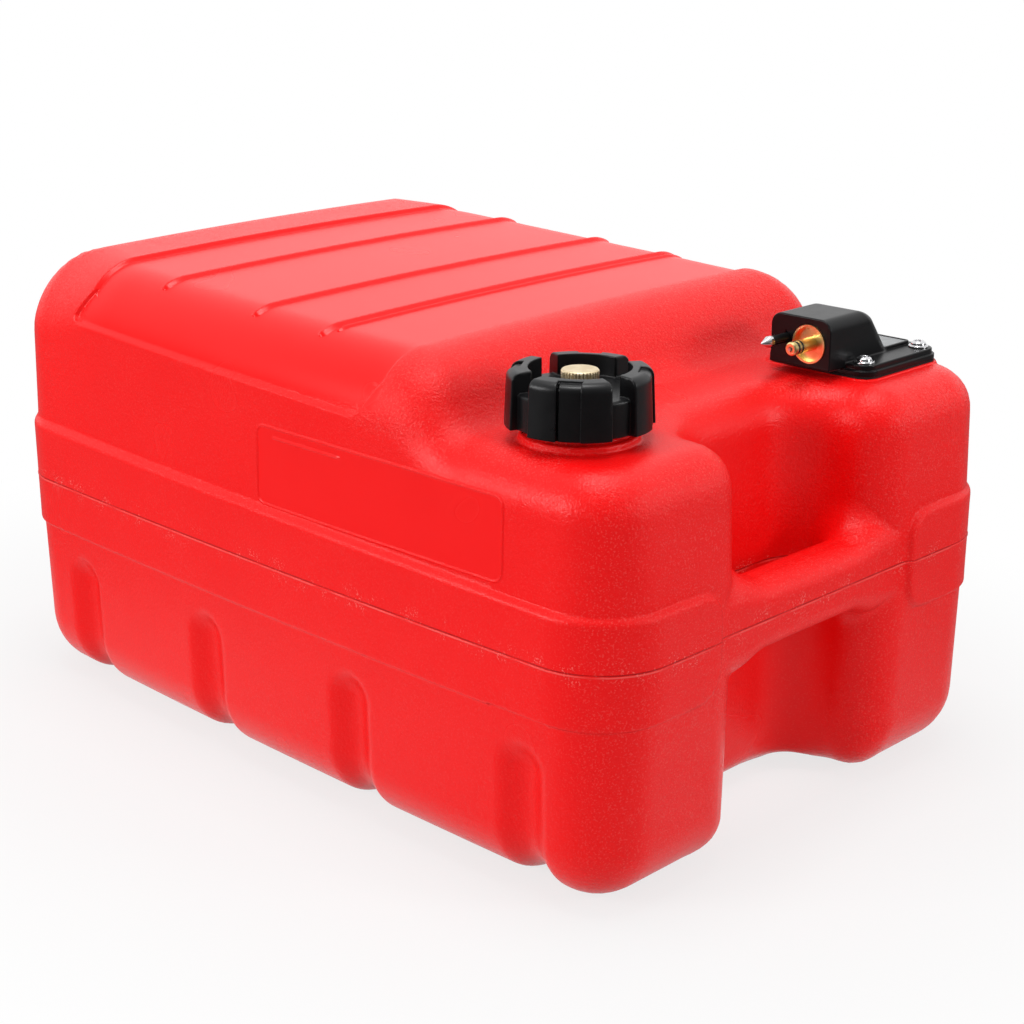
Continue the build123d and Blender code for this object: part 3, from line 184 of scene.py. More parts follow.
def net_of(form, low, high, cell):
    """Covers the form's surface with small triangles: one point for each grid cell that it crosses."""
    axes = [np.arange(a, b + cell, cell) for a, b in zip(low, high)]
    shape = tuple(len(a) for a in axes)
    grid = np.stack(np.meshgrid(*axes, indexing="ij"), axis=-1).reshape(-1, 3)
    value = np.concatenate([form(part) for part in np.array_split(grid, 12)]).reshape(shape)
    value[np.abs(value) < 1e-6] = 1e-6
    inside = value < 0
    total = np.zeros(tuple(n - 1 for n in shape) + (3,))
    count = np.zeros(tuple(n - 1 for n in shape))
    corners = [slice(0, -1), slice(1, None)]
    crossings = []
    for axis in range(3):
        lower = [slice(None)] * 3
        upper = [slice(None)] * 3
        lower[axis], upper[axis] = corners
        a, b = value[tuple(lower)], value[tuple(upper)]
        crossed = inside[tuple(lower)] != inside[tuple(upper)]
        crossings.append((crossed, inside[tuple(lower)]))
        share = np.where(crossed, a / np.where(crossed, a - b, 1), 0)
        others = [n for n in range(3) if n != axis]
        for i in (0, 1):
            for j in (0, 1):
                pick = [slice(None)] * 3
                pick[others[0]] = slice(i, shape[others[0]] - 1 + i)
                pick[others[1]] = slice(j, shape[others[1]] - 1 + j)
                hit = crossed[tuple(pick)]
                offset = np.zeros(hit.shape + (3,))
                offset[..., axis] = share[tuple(pick)]
                offset[..., others[0]], offset[..., others[1]] = i, j
                total += offset * hit[..., None]
                count += hit
    used = count > 0
    number = np.full(used.shape, -1)
    number[used] = np.arange(used.sum())
    place = np.argwhere(used) + total[used] / count[used][:, None]
    points = np.array([a[0] for a in axes]) + place * cell
    triangles = []
    for axis, (crossed, starts_inside) in enumerate(crossings):
        u, v = (axis + 1) % 3, (axis + 2) % 3
        spot = np.argwhere(crossed)
        within = (spot[:, [u, v]] > 0) & (spot[:, [u, v]] < (shape[u] - 1, shape[v] - 1))
        spot = spot[within.all(1)]
        back_u, back_v = np.eye(3, dtype=int)[u], np.eye(3, dtype=int)[v]
        a, b, c, d = (number[tuple((spot - s).T)] for s in (back_u + back_v, back_v, 0 * back_u, back_u))
        flip = ~starts_inside[tuple(spot.T)]
        b, d = np.where(flip, d, b), np.where(flip, b, d)
        triangles += [np.stack([a, b, c], 1), np.stack([a, c, d], 1)]
    return points, np.concatenate(triangles)


def refine(form, points, faces, size_at):
    """Halves every edge that is longer than is wanted there, and sets the new points on the surface."""
    for _ in range(5):
        pairs = np.sort(faces[:, [0, 1, 1, 2, 2, 0]].reshape(-1, 2), axis=1)
        edges, place = np.unique(pairs, axis=0, return_inverse=True)
        ends = points[edges]
        middle = ends.mean(1)
        split = np.linalg.norm(ends[:, 0] - ends[:, 1], axis=1) > 1.45 * size_at(middle)
        if not split.any():
            break
        number = np.full(len(edges), -1)
        number[split] = len(points) + np.arange(split.sum())
        points = np.concatenate([points, settle(form, middle[split], 2)])
        mid = number[place].reshape(-1, 3)
        cuts = (mid >= 0).sum(1)
        turn = np.where(cuts == 1, mid.argmax(1), np.where(cuts == 2, (mid.argmin(1) + 1) % 3, 0))
        order = (turn[:, None] + np.arange(3)) % 3
        a, b, c = np.take_along_axis(faces, order, 1).T
        ab, bc, ca = np.take_along_axis(mid, order, 1).T
        made = []
        for count, shapes in ((0, [(a, b, c)]), (1, [(a, ab, c), (ab, b, c)]),
                              (2, [(ab, b, bc), (a, ab, bc), (a, bc, c)]),
                              (3, [(a, ab, ca), (ab, b, bc), (ca, bc, c), (ab, bc, ca)])):
            chosen = cuts == count
            made += [np.stack([k[chosen] for k in shape], 1) for shape in shapes]
        faces = np.concatenate(made)
    return points, faces


def mesh_of(name, points, faces, normals=None):
    """A smooth mesh in metres from points in millimetres."""
    mesh = bpy.data.meshes.new(name)
    mesh.from_pydata((np.asarray(points) * MM).tolist(), [], np.asarray(faces).tolist())
    mesh.update()
    mesh.polygons.foreach_set("use_smooth", np.ones(len(mesh.polygons), bool))
    if normals is not None:
        mesh.normals_split_custom_set_from_vertices(np.asarray(normals).tolist())
    made = bpy.data.objects.new(name, mesh)
    bpy.context.scene.collection.objects.link(made)
    return made


def skin_size(points):
    """How fine the shell's mesh is: fine along edges and seams, coarse on the plain walls."""
    x, y, z = points.T
    size = np.full(len(points), 6.0)
    near_band = np.minimum(np.abs(z - band_top(y) + 2), np.abs(z - BAND_LOW) + 0.5)
    size = np.where(near_band < 5.5, 1.1, size)
    front = (y < -200) & (np.abs(z - SEAM) < 45)
    size = np.where(front & (np.abs(x) < 110), 2.2, size)
    size = np.where((z > 200) & (np.abs(panel_form(y, z)) < 4.5), 1.0, size)
    groove = np.min([np.abs(y - g) for g in GROOVES], axis=0)
    size = np.where((z < 95) & (groove < 24), np.minimum(size, 3.2), size)
    radial = np.hypot(x - NECK[0], y - NECK[1])
    size = np.where((z > 228) & (radial < 36), 1.6, size)
    seat = np.maximum(np.abs(x - HEAD[0]), np.abs(y - HEAD[1]))
    size = np.where((z > 228) & (np.abs(seat - 38) < 3.5), 1.2, size)
    return size


points, faces = net_of(tank_form, (-180, -266, -6), (180, 266, 292), 5.0)
points = settle(tank_form, points, 6)
points, faces = refine(tank_form, points, faces, skin_size)
middle = points[faces].mean(1)
over_head = np.hypot(middle[:, 0] - HEAD[0], middle[:, 1] - HEAD[1]) < 23.5
in_neck = (np.hypot(middle[:, 0] - NECK[0], middle[:, 1] - NECK[1]) < 21.5) & (middle[:, 2] < 236)
faces = faces[~((over_head & (middle[:, 2] > 226)) | (in_neck & (middle[:, 2] > 220)))]
shell = mesh_of("tank_shell_skin", points, faces, facing(tank_form, points))

# The fine raised lines on the shell: four ribs, the label frame with its level mark, and the parting line.
BEAD_ROOT, LEFT_WALL = 0.06, -170
RIB_END, RIB_TAPER = 152.5, 5
RIBS = ((115.4, 5.0, 2.0, -152.5), (30.0, 5.0, 2.0, -152.5),
        (-27.5, 5.0, 2.0, -152.5), (-33.8, 2.4, 1.2, -141.0))
LABEL, LABEL_HALF, LABEL_CORNER, LABEL_BEAD = (-93, 191.5), (94.5, 22.5), 6, (1.1, 0.6)
MARK_ENDS, MARK_HEIGHT, MARK_BEAD = (-68, -12), 208.5, (1.2, 0.7)
SEAM_SPACING, SEAM_HALF = 1.6, 0.85


def bead(name, line, half, height, closed=False):
    """A fine raised line on the skin: a low rounded strip that follows the given points."""
    line = settle(tank_form, np.asarray(line, float), 4)
    up = facing(tank_form, line, 0.3)
    along = np.roll(line, -1, 0) - np.roll(line, 1, 0) if closed else np.gradient(line, axis=0)
    out = np.cross(along, up)
    out /= np.linalg.norm(out, axis=1)[:, None]
    across = np.linspace(-1, 1, 7)
    lift = (1 + np.cos(across * math.pi)) / 2
    half = np.broadcast_to(half, len(line))[:, None]
    height = np.broadcast_to(height, len(line))[:, None]
    rows = line[:, None] + out[:, None] * (across * half)[..., None]
    flat = settle(tank_form, rows.reshape(-1, 3), 2)
    sunk = BEAD_ROOT * (lift < 0.01)
    rows = flat + facing(tank_form, flat) * (lift * height - sunk).reshape(-1, 1)
    n, m = len(line), len(across)
    index = np.arange(n * m).reshape(n, m)
    follow = np.roll(index, -1, 0) if closed else index[1:]
    start = index if closed else index[:-1]
    quads = np.stack([start[:, :-1], start[:, 1:], follow[:, 1:], follow[:, :-1]], -1).reshape(-1, 4)
    return mesh_of(name, rows, quads)


def rounded_loop(half_long, half_high, radius, spacing):
    """Points evenly spaced round a rounded rectangle about the origin."""
    corners = []
    for turn, (sx, sy) in enumerate(((1, 1), (-1, 1), (-1, -1), (1, -1))):
        angles = np.radians(np.linspace(0, 90, 9) + 90 * turn)
        centre = np.array([sx * (half_long - radius), sy * (half_high - radius)])
        corners.append(centre + radius * np.stack([np.cos(angles), np.sin(angles)], 1))
    loop = np.concatenate(corners + [corners[0][:1]])
    reach = np.concatenate([[0], np.cumsum(np.linalg.norm(np.diff(loop, axis=0), axis=1))])
    at = np.linspace(0, reach[-1], int(reach[-1] / spacing) + 1)[:-1]
    return np.stack([np.interp(at, reach, loop[:, k]) for k in (0, 1)], 1)


def seam_line():
    """The parting line's course: round the walls, in at the notch and along the bar."""
    angle = np.linspace(-math.pi, math.pi, 5000)[:-1]
    outer = np.stack([np.sin(angle) * 250, -np.cos(angle) * 340, np.full(len(angle), SEAM)], 1)
    inner = np.tile([0.0, 30.0, SEAM], (len(angle), 1))
    for _ in range(24):
        middle = (inner + outer) / 2
        inside = (tank_form(middle) < 0)[:, None]
        inner, outer = np.where(inside, middle, inner), np.where(inside, outer, middle)
    step = np.linalg.norm(np.diff(inner, axis=0, append=inner[:1]), axis=1)
    reach = np.concatenate([[0], np.cumsum(step)])
    at = np.arange(0, reach[-1], SEAM_SPACING)
    return np.stack([np.interp(at, reach, np.append(inner[:, k], inner[0, k])) for k in range(3)], 1)


beads = []
for place, width, height, start in RIBS:
    x = start + (RIB_END - start) * (1 - np.cos(np.linspace(0, math.pi, 90))) / 2
    taper = np.clip(1 - np.minimum(x - start, RIB_END - x) / RIB_TAPER, 0, 1)
    fade = np.sqrt(np.clip(1 - taper ** 2, 0.01, 1))
    line = np.stack([x, np.full(len(x), place), np.full(len(x), ceiling(place) - PANEL_DEPTH)], 1)
    beads.append(bead("rib", line, (width / 2 + 1.0) * (0.35 + 0.65 * fade), height * fade))
loop = rounded_loop(*LABEL_HALF, LABEL_CORNER, 1.5) + LABEL
line = np.column_stack([np.full(len(loop), LEFT_WALL), loop])
beads.append(bead("label_frame", line, *LABEL_BEAD, True))
ends = np.linspace(-1, 1, 30)
line = np.stack([np.full(30, LEFT_WALL), np.linspace(*MARK_ENDS, 30), np.full(30, MARK_HEIGHT)], 1)
fade = np.sqrt(np.clip(1 - ends ** 20, 0.02, 1))
beads.append(bead("level_mark", line, MARK_BEAD[0], MARK_BEAD[1] * fade))
line = seam_line()
uneven = np.random.default_rng(7).normal(size=len(line))
uneven = np.convolve(np.tile(uneven, 3), [0.25, 0.5, 0.25], "same")[len(line):2 * len(line)]
beads.append(bead("moulding_seam", line, SEAM_HALF, 0.3 + 0.08 * np.clip(uneven, -1.5, 1.5), True))


class Signal:
    """A value inside a finish. Arithmetic on it adds Math nodes."""

    def __init__(self, finish, socket):
        self.finish, self.socket = finish, socket

    def maths(self, operation, *values):
        return self.finish.node("ShaderNodeMath", {"operation": operation}, dict(enumerate(values)))[0]

    def __add__(self, other):
        return self.maths("ADD", self, other)

    def __sub__(self, other):
        return self.maths("SUBTRACT", self, other)

    def __rsub__(self, other):
        return self.maths("SUBTRACT", other, self)

    def __mul__(self, other):
        return self.maths("MULTIPLY", self, other)

    def __abs__(self):
        return self.maths("ABSOLUTE", self)

    __radd__, __rmul__ = __add__, __mul__

    def root(self):
        return self.maths("SQRT", self)

    def most(self, other):
        return self.maths("MAXIMUM", self, other)

    def step(self, start, end):
        """0 up to start, 1 from end, smooth between."""
        return self.finish.node("ShaderNodeMapRange", {"interpolation_type": "SMOOTHSTEP"},
                                {0: self, 1: start, 2: end, 3: 0.0, 4: 1.0})[0]


class Finish:
    """A surface finish. Each is named for the stuff it is on."""

    def __init__(self, name):
        self.material = bpy.data.materials.new(name)
        self.material.use_nodes = True
        self.tree = self.material.node_tree
        self.tree.nodes.clear()

    def node(self, kind, settings, sockets):
        """Adds a node and returns its outputs as signals, in the node's own order."""
        made = self.tree.nodes.new(kind)
        for key, value in settings.items():
            setattr(made, key, value)
        for key, value in sockets.items():
            if isinstance(value, Signal):
                self.tree.links.new(value.socket, made.inputs[key])
            else:
                made.inputs[key].default_value = value
        return [Signal(self, output) for output in made.outputs]

    def place(self):
        """Where a point lies on the object, in metres."""
        return self.node("ShaderNodeTexCoord", {}, {})[3]

    def split(self, vector):
        return self.node("ShaderNodeSeparateXYZ", {}, {0: vector})

    def noise(self, scale, detail=2.0, roughness=0.5, vector=None):
        return self.node("ShaderNodeTexNoise", {}, {"Vector": vector or self.place(), "Scale": scale,
                                                    "Detail": detail, "Roughness": roughness})[0]

    def blend(self, factor, a, b):
        """One colour fading into another."""
        a, b = (c if isinstance(c, Signal) else (*c, 1) for c in (a, b))
        return self.node("ShaderNodeMix", {"data_type": "RGBA"}, {0: factor, 6: a, 7: b})[2]

    def bump(self, height, distance, strength):
        sockets = {"Height": height, "Distance": distance, "Strength": strength}
        return self.node("ShaderNodeBump", {}, sockets)[0]

    def close(self, **sockets):
        """Ends the finish in one plain surface shader."""
        named = {key.replace("_", " "): value for key, value in sockets.items()}
        shader = self.node("ShaderNodeBsdfPrincipled", {}, named)[0]
        self.node("ShaderNodeOutputMaterial", {}, {0: shader})
        return self.material


def dress(made, material, body, slot, *replaced):
    """Gives a piece its finish, the body it moves with and the CAD nodes it stands for."""
    made.data.materials.clear()
    made.data.materials.append(material)
    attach(made, body)
    if replaced:
        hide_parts(*replaced)


# The grain is pebbled, but polished inside the top panel and the label frame, and rougher by the seam. Its
# pale specks are painted glints, and the seam's bead has a painted highlight with a painted line of shade
# just above it.
RED_DEEP, RED_BRIGHT = (0.86, 0.0033, 0.0038), (0.94, 0.0047, 0.0052)
# The pale pink paints glints and the seam's highlight line. The dark red paints shade along the seam.
GLINT_PINK, SEAM_SHADE_RED = (0.95, 0.17, 0.15), (0.33, 0.0015, 0.0015)
PEBBLES, CREASES, GLINT_SCALE, PATCHES, SEAM_PATCHES = 560.0, 1300.0, 1000.0, 17.0, 75.0
red = Finish("tank_polyethylene")
x, y, z = red.split(red.place())
panel = (y - (PANEL_FRONT - 4) * MM).step(0, 0.006) * ((PANEL_REAR + 4) * MM - y).step(0, 0.006)
panel = panel * (z - (DECK + 4) * MM).step(0, 0.004)
label = ((LABEL_HALF[0] - 1) * MM - abs(y - LABEL[0] * MM)).step(0, 0.001)
label = label * ((LABEL_HALF[1] - 1) * MM - abs(z - LABEL[1] * MM)).step(0, 0.001)
label = label * (0 - x).step(0.15, 0.16)
polish = panel.most(label)
pebble = red.noise(PEBBLES, 2.0, 0.6) - 0.5
crease = red.noise(CREASES, 2.0, 0.6) - 0.5
patchy = red.noise(PATCHES, 1.0)
above_seam = z - SEAM * MM
near_seam = 1 - abs(above_seam - 0.001).step(0.002, 0.009)
# Patches by the seam where the grain is rougher and the painted glints are thicker.
rough_glinting_seam = red.noise(SEAM_PATCHES, 4.0, 0.7).step(0.5, 0.62) * near_seam
deck_front = (y + 0.215).step(0, 0.01) * (0 - y).step(0.06, 0.1) * (z - 0.222).step(0, 0.01)
pillars = (0 - y).step(0.225, 0.25) + deck_front
rough = 0.5 + 0.3 * patchy + 0.6 * rough_glinting_seam + 0.5 * pillars
grain = (pebble + crease * 0.6) * (1 - polish * 0.92) * rough
split_line = 1 - abs(above_seam - 0.001).step(0.0002, 0.0005)
relief = red.bump(grain - 0.5 * split_line, 0.0006, 0.8)
# Painted glints: pale pink specks on the grain's tips stand in for light sparkling off the pebbled grain.
# They are thickest by the seam, on the pillars and on the deck's front.
painted_glints = red.noise(GLINT_SCALE, 1.0, 0.5).step(0.57, 0.66) * (1 - polish)
painted_glints = painted_glints * (0.12 * patchy + 0.65 * rough_glinting_seam + 0.12 * pillars)
# Painted highlight: a pale line along the seam's bead stands in for light caught on the bead, and is
# stronger in random patches. The same patches vary the painted shade line above it.
seam_light_unevenness = red.noise(55.0, 2.0).step(0.3, 0.62)
painted_seam_highlight = (1 - abs(above_seam).step(0.0002, 0.0006)) * seam_light_unevenness
colour = red.blend(red.noise(9.0, 3.0), RED_DEEP, RED_BRIGHT)
colour = red.blend(painted_glints.most(0.45 * painted_seam_highlight), colour, GLINT_PINK)
# Painted shade: a dark red line just above the seam, where the crease by the bead falls in shade. The bump
# also sinks a groove there.
colour = red.blend((0.35 + 0.4 * seam_light_unevenness) * split_line, colour, SEAM_SHADE_RED)
tank_red = red.close(Base_Color=colour, Roughness=0.26 + 0.02 * patchy, Normal=relief,
                     IOR=1.5, Specular_IOR_Level=0.25)
dress(shell, tank_red, "tank", "tank_red", "tank_shell")
for made in beads:
    dress(made, tank_red, "tank", "tank_red")

# ==== Threaded inserts ====
# Four brass sleeves that were set in the mould, so that the plastic of the head's seat grips them.
# The fuel head's screws run into them.


def give(material, *names):
    """Gives CAD nodes a finish."""
    for name in names:
        nodes[name].data.materials.clear()
        nodes[name].data.materials.append(material)


BRASS_DULL, BRASS_BRIGHT = (0.85, 0.64, 0.27), (0.93, 0.76, 0.37)
TOOL_MARKS = (2600.0, 70.0, 70.0)
brass = Finish("turned_brass")
marks = brass.node("ShaderNodeMapping", {}, {"Vector": brass.place(), "Scale": TOOL_MARKS})[0]
marks = brass.noise(1.0, 2.0, 0.5, marks)
warmth = brass.noise(190.0, 3.0).step(0.35, 0.7)
turned_brass = brass.close(Base_Color=brass.blend(warmth, BRASS_DULL, BRASS_BRIGHT),
                           Roughness=0.25 + 0.12 * marks, Metallic=1.0,
                           Normal=brass.bump(marks, 0.00006, 0.35))
give(turned_brass, "threaded_inserts")

# ==== Float gauge ====
# A float rides on two rails under the head. A slotted brass plate in it turns a twisted steel strip,
# and the strip turns a disc under the dial's window. It is hung in before the head is screwed down.
DIAL, TICKS, TICK_RING = (131, -188), 24, (0.0084, 0.0104)
DRAWN_MARKS = (1500.0, 1500.0, 90.0)
acetal = Finish("natural_acetal")
cloud = acetal.noise(60.0, 3.0)
milky = acetal.blend(cloud.step(0.3, 0.7), (0.74, 0.72, 0.64), (0.82, 0.80, 0.73))
natural_acetal = acetal.close(Base_Color=milky, Roughness=0.42 + 0.1 * cloud,
                              Normal=acetal.bump(acetal.noise(900.0), 0.00008, 0.3))
give(natural_acetal, "gauge_frame", "pickup_tube", "pickup_strainer")
steel = Finish("bright_steel")
drawn = steel.node("ShaderNodeMapping", {}, {"Vector": steel.place(), "Scale": DRAWN_MARKS})[0]
drawn = steel.noise(1.0, 3.0, 0.6, drawn)
bright_steel = steel.close(Base_Color=steel.blend(drawn, (0.52, 0.52, 0.53), (0.66, 0.66, 0.66)),
                           Roughness=0.22 + 0.14 * drawn, Metallic=1.0)
give(bright_steel, "gauge_strip")
give(turned_brass, "float_plate")
foam = Finish("closed_cell_foam")
cells = foam.node("ShaderNodeTexVoronoi", {}, {"Vector": foam.place(), "Scale": 900.0})[0]
closed_foam = foam.close(Base_Color=foam.blend(cells, (0.030, 0.030, 0.034), (0.055, 0.055, 0.060)),
                         Roughness=0.85, Normal=foam.bump(cells, 0.0003, 0.6))
give(closed_foam, "gauge_float")
drum = Finish("gauge_disc_red")
north = drum.split(drum.place())[1]
half = (north - DIAL[1] * MM).step(-0.0002, 0.0002)
give(drum.close(Base_Color=drum.blend(half, (0.62, 0.03, 0.02), (0.70, 0.69, 0.66)), Roughness=0.5),
     "gauge_drum")
dial = Finish("dial_white")
east, north, _ = dial.split(dial.place())
east, north = east - DIAL[0] * MM, north - DIAL[1] * MM
radius = (east * east + north * north).root()
turn = north.maths("ARCTAN2", north, east) * (TICKS / (2 * math.pi))
beside = abs(turn - turn.maths("ROUND", turn))
tick = beside.maths("LESS_THAN", beside, 0.09)
tick = tick * radius.step(TICK_RING[0], TICK_RING[0] + 0.0002) * (TICK_RING[1] - radius).step(0, 0.0002)
give(dial.close(Base_Color=dial.blend(tick, (0.62, 0.63, 0.64), (0.05, 0.05, 0.05)), Roughness=0.5),
     "gauge_dial")
pane = Finish("window_pane")
haze = pane.noise(140.0, 3.0)
give(pane.close(Base_Color=pane.blend(haze, (0.42, 0.44, 0.45), (0.58, 0.60, 0.61)),
                Roughness=0.16 + 0.1 * haze, Alpha=0.6, Specular_IOR_Level=0.5), "gauge_lens")

# ==== Fuel head ====
# One black moulding of glass-filled nylon: a square plate in two tiers, the box that carries the hose
# connector and the gauge's window. Four screws hold it down on a rubber gasket.
PLATE, LOWER_TIER, BOX_TOP, FACE = (233.7, 240.0), 236.9, 266, 67.0
LOWER_HALF, UPPER_HALF, BOX_HALF, BOX_BACK = 36.5, 35, 20.5, 107
WINDOW, WINDOW_HALF, WINDOW_TOP, WINDOW_FLOOR = 135, (14, 19), 242, 239
WINDOW_RIM, DIAL_WELL, SPIGOT, SPIGOT_HALF = 1.7, 8.3, 22.1, 1.5
SCREW_REACH, SCREW_HOLE = 27, 2.7
NIPPLE, CUP, CUP_FLOOR = (-194.0, 251.0), 11.0, 71.2
PIN, PIN_HOLE, PIN_END = (-178.6, 252.5), 2.8, 81
HEAD_BLACK, HEAD_GREY = (0.0036, 0.0036, 0.0042), (0.0060, 0.0060, 0.0068)


def head_form(points):
    """How far each point lies outside the head's moulding."""
    x, y, z = points.T
    from_side, from_middle = np.abs(x - HEAD[0]), np.abs(y - HEAD[1])
    lower = meet(meet(from_side - LOWER_HALF, from_middle - LOWER_HALF, 10), z - LOWER_TIER, 0.5)
    upper = meet(meet(from_side - UPPER_HALF, from_middle - UPPER_HALF, 8.5), z - PLATE[1], 0.7)
    wide, long = np.abs(x - WINDOW) - WINDOW_HALF[0], from_middle - WINDOW_HALF[1]
    window = meet(meet(wide, long, 3), z - WINDOW_TOP, 0.5)
    pocket = meet(meet(wide + WINDOW_RIM, long + WINDOW_RIM, 1.3), WINDOW_FLOOR - z, 0.2)
    well = meet(np.hypot(x - DIAL[0], y - DIAL[1]) - DIAL_WELL, 237 - z, 0.1)
    plate = meet(np.minimum(np.minimum(lower, upper), window), PLATE[0] - z, 0.4)
    plate = meet(meet(plate, -pocket, 0.3), -well, 0.1)
    for east in (-SCREW_REACH, SCREW_REACH):
        for north in (-SCREW_REACH, SCREW_REACH):
            hole = SCREW_HOLE - np.hypot(x - HEAD[0] - east, y - HEAD[1] - north)
            plate = np.maximum(plate, hole)
    back = ((x - BOX_BACK) * 26 + (z - BOX_TOP) * 20) / 32.8
    box = meet(meet(z - BOX_TOP, back, 6), from_middle - BOX_HALF, 7)
    box = meet(meet(box, FACE - x, 0.7), 237 - z, 1.2)
    cup = np.maximum(np.hypot(y - NIPPLE[0], z - NIPPLE[1]) - CUP, x - CUP_FLOOR)
    stem = np.maximum(np.hypot(y - PIN[0], z - PIN[1]) - PIN_HOLE, x - PIN_END)
    box = meet(meet(box, -cup, 0.3), -stem, 0.3)
    ring = np.abs(np.hypot(x - HEAD[0], y - HEAD[1]) - SPIGOT) - SPIGOT_HALF
    spigot = np.maximum(np.maximum(ring, 226.2 - z), z - 235)
    return np.minimum(join(plate, box, 1.0), spigot)


def head_size(points):
    """How fine the head's mesh is: fine wherever the surface turns."""
    bend = slope(head_form, points + 0.6, 0.05) - slope(head_form, points - 0.6, 0.05)
    return np.where(np.linalg.norm(bend, axis=1) > 0.2, 0.45, 3.0)


points, faces = net_of(head_form, (64, -227, 224), (158, -149, 269), 1.3)
points = settle(head_form, points, 6)
points, faces = refine(head_form, points, faces, head_size)
housing = mesh_of("head_moulding", points, faces, facing(head_form, points))
nylon = Finish("black_nylon")
sheen = nylon.noise(150.0, 3.0)
fine = nylon.noise(2600.0, 2.0)
black_nylon = nylon.close(Base_Color=nylon.blend(sheen, HEAD_BLACK, HEAD_GREY),
                          Roughness=0.26 + 0.08 * sheen, Specular_IOR_Level=0.22,
                          Normal=nylon.bump(fine, 0.00008, 0.35))
dress(housing, black_nylon, "tank", "head_black", "head_housing")
rubber = Finish("black_rubber")
dust = rubber.noise(420.0, 3.0)
black_rubber = rubber.close(Base_Color=rubber.blend(dust, (0.010, 0.010, 0.010), (0.020, 0.020, 0.020)),
                            Roughness=0.62 + 0.15 * dust, Specular_IOR_Level=0.2)
give(black_rubber, "head_gasket")

# ==== Fuel head's screws ====
# Chrome-plated pan head screws with a flange under the head and a cross recess.
# They run down into the brass inserts, one at each corner of the plate.
FLANGE, SCREW_HEAD, SHANK = (5.85, 1.1), (4.35, 4.2), 2.5
CROSS_REACH, CROSS_HALF, CROSS_FLOOR = 2.7, 0.62, 2.2
SCREWS = ((-1, -1, 0.35), (1, -1, 1.1), (-1, 1, 0.8), (1, 1, 0.1))


def screw_form(points):
    """How far each point lies outside a screw that stands on the origin."""
    x, y, z = points.T
    radial = np.hypot(x, y)
    flange = meet(radial - FLANGE[0], z - FLANGE[1], 0.45)
    dome = np.sqrt(radial ** 2 + (z + 1.9) ** 2) - 6.1
    dome = meet(meet(radial - SCREW_HEAD[0], z - SCREW_HEAD[1], 1.2), dome, 0.5)
    head = meet(join(flange, dome, 0.35), -z, 0.1)
    taper = 0.45 * (SCREW_HEAD[1] - z)
    cross = np.minimum(np.maximum(np.abs(x) - CROSS_REACH + taper, np.abs(y) - CROSS_HALF),
                       np.maximum(np.abs(y) - CROSS_REACH + taper, np.abs(x) - CROSS_HALF))
    cross = meet(cross, CROSS_FLOOR - z, 0.2)
    return np.minimum(meet(head, -cross, 0.2), np.maximum(radial - SHANK, np.abs(z + 7) - 7.5))


points, faces = net_of(screw_form, (-6.5, -6.5, -15), (6.5, 6.5, 5), 0.4)
points = settle(screw_form, points, 4)
normals = facing(screw_form, points, 0.04)
every_point, every_face, every_normal = [], [], []
for east, north, turn in SCREWS:
    cosine, sine = math.cos(turn), math.sin(turn)
    turned = np.array([[cosine, sine, 0], [-sine, cosine, 0], [0, 0, 1]])
    place = (HEAD[0] + east * SCREW_REACH, HEAD[1] + north * SCREW_REACH, PLATE[1])
    every_face.append(faces + len(points) * len(every_point))
    every_point.append(points @ turned + place)
    every_normal.append(normals @ turned)
screws = mesh_of("head_screws", *map(np.concatenate, (every_point, every_face, every_normal)))
chrome = Finish("chrome_plate")
wear = chrome.noise(260.0, 3.0)
chrome_plate = chrome.close(Base_Color=chrome.blend(wear, (0.70, 0.70, 0.72), (0.80, 0.80, 0.81)),
                            Roughness=0.08 + 0.10 * wear, Metallic=1.0)
dress(screws, chrome_plate, "tank", "chrome", "housing_screws")

# ==== Hose connector ====
# A turned brass nipple in a cup, with two rubber rings and a sprung check valve inside it.
# Beside it stands the guide pin: a pointed bright tip on a sleeved core. Both are pressed into the box.
give(turned_brass, "nipple_body", "valve_seat")
give(black_rubber, "nipple_rings")
give(bright_steel, "valve_poppet")


def tube_faces(rows, columns):
    """Quads between neighbouring rings of points."""
    index = np.arange(rows * columns).reshape(rows, columns)
    ring = np.roll(index, -1, 1)
    return np.stack([index[:-1], ring[:-1], ring[1:], index[1:]], -1).reshape(-1, 4)


# The spring behind the poppet is wound of fine wire, and shortens as a plugged hose pushes the poppet in.
WIRE, WIRE_TIP, COILS, VALVE_TRAVEL = 0.35, 0.05, 6, 3.0
near, far = (np.array(corner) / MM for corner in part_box("valve_spring"))
turn = np.linspace(0, 2 * math.pi * COILS, 24 * COILS + 1)
out = np.stack([0 * turn, np.cos(turn), np.sin(turn)], 1)
centre = out * ((far[1] - near[1]) / 2 - WIRE) + (0, *NIPPLE)
centre[:, 0] = np.linspace(near[0] + WIRE, far[0] - WIRE, len(turn))
along = np.gradient(centre, axis=0)
aside = np.cross(along / np.linalg.norm(along, axis=1)[:, None], out)
angle = np.linspace(0, 2 * math.pi, 11)[:-1][:, None]
thick = np.full((len(turn), 1, 1), WIRE)
thick[[0, -1]] = WIRE_TIP
rings = centre[:, None] + thick * (np.cos(angle) * out[:, None] + np.sin(angle) * aside[:, None])
spring = mesh_of("valve_coil", rings.reshape(-1, 3), tube_faces(len(turn), len(angle)))
dress(spring, bright_steel, "tank", "steel", "valve_spring")
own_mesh(spring)
give(chrome_plate, "guide_pin")
give(black_nylon, "pin_sleeve")

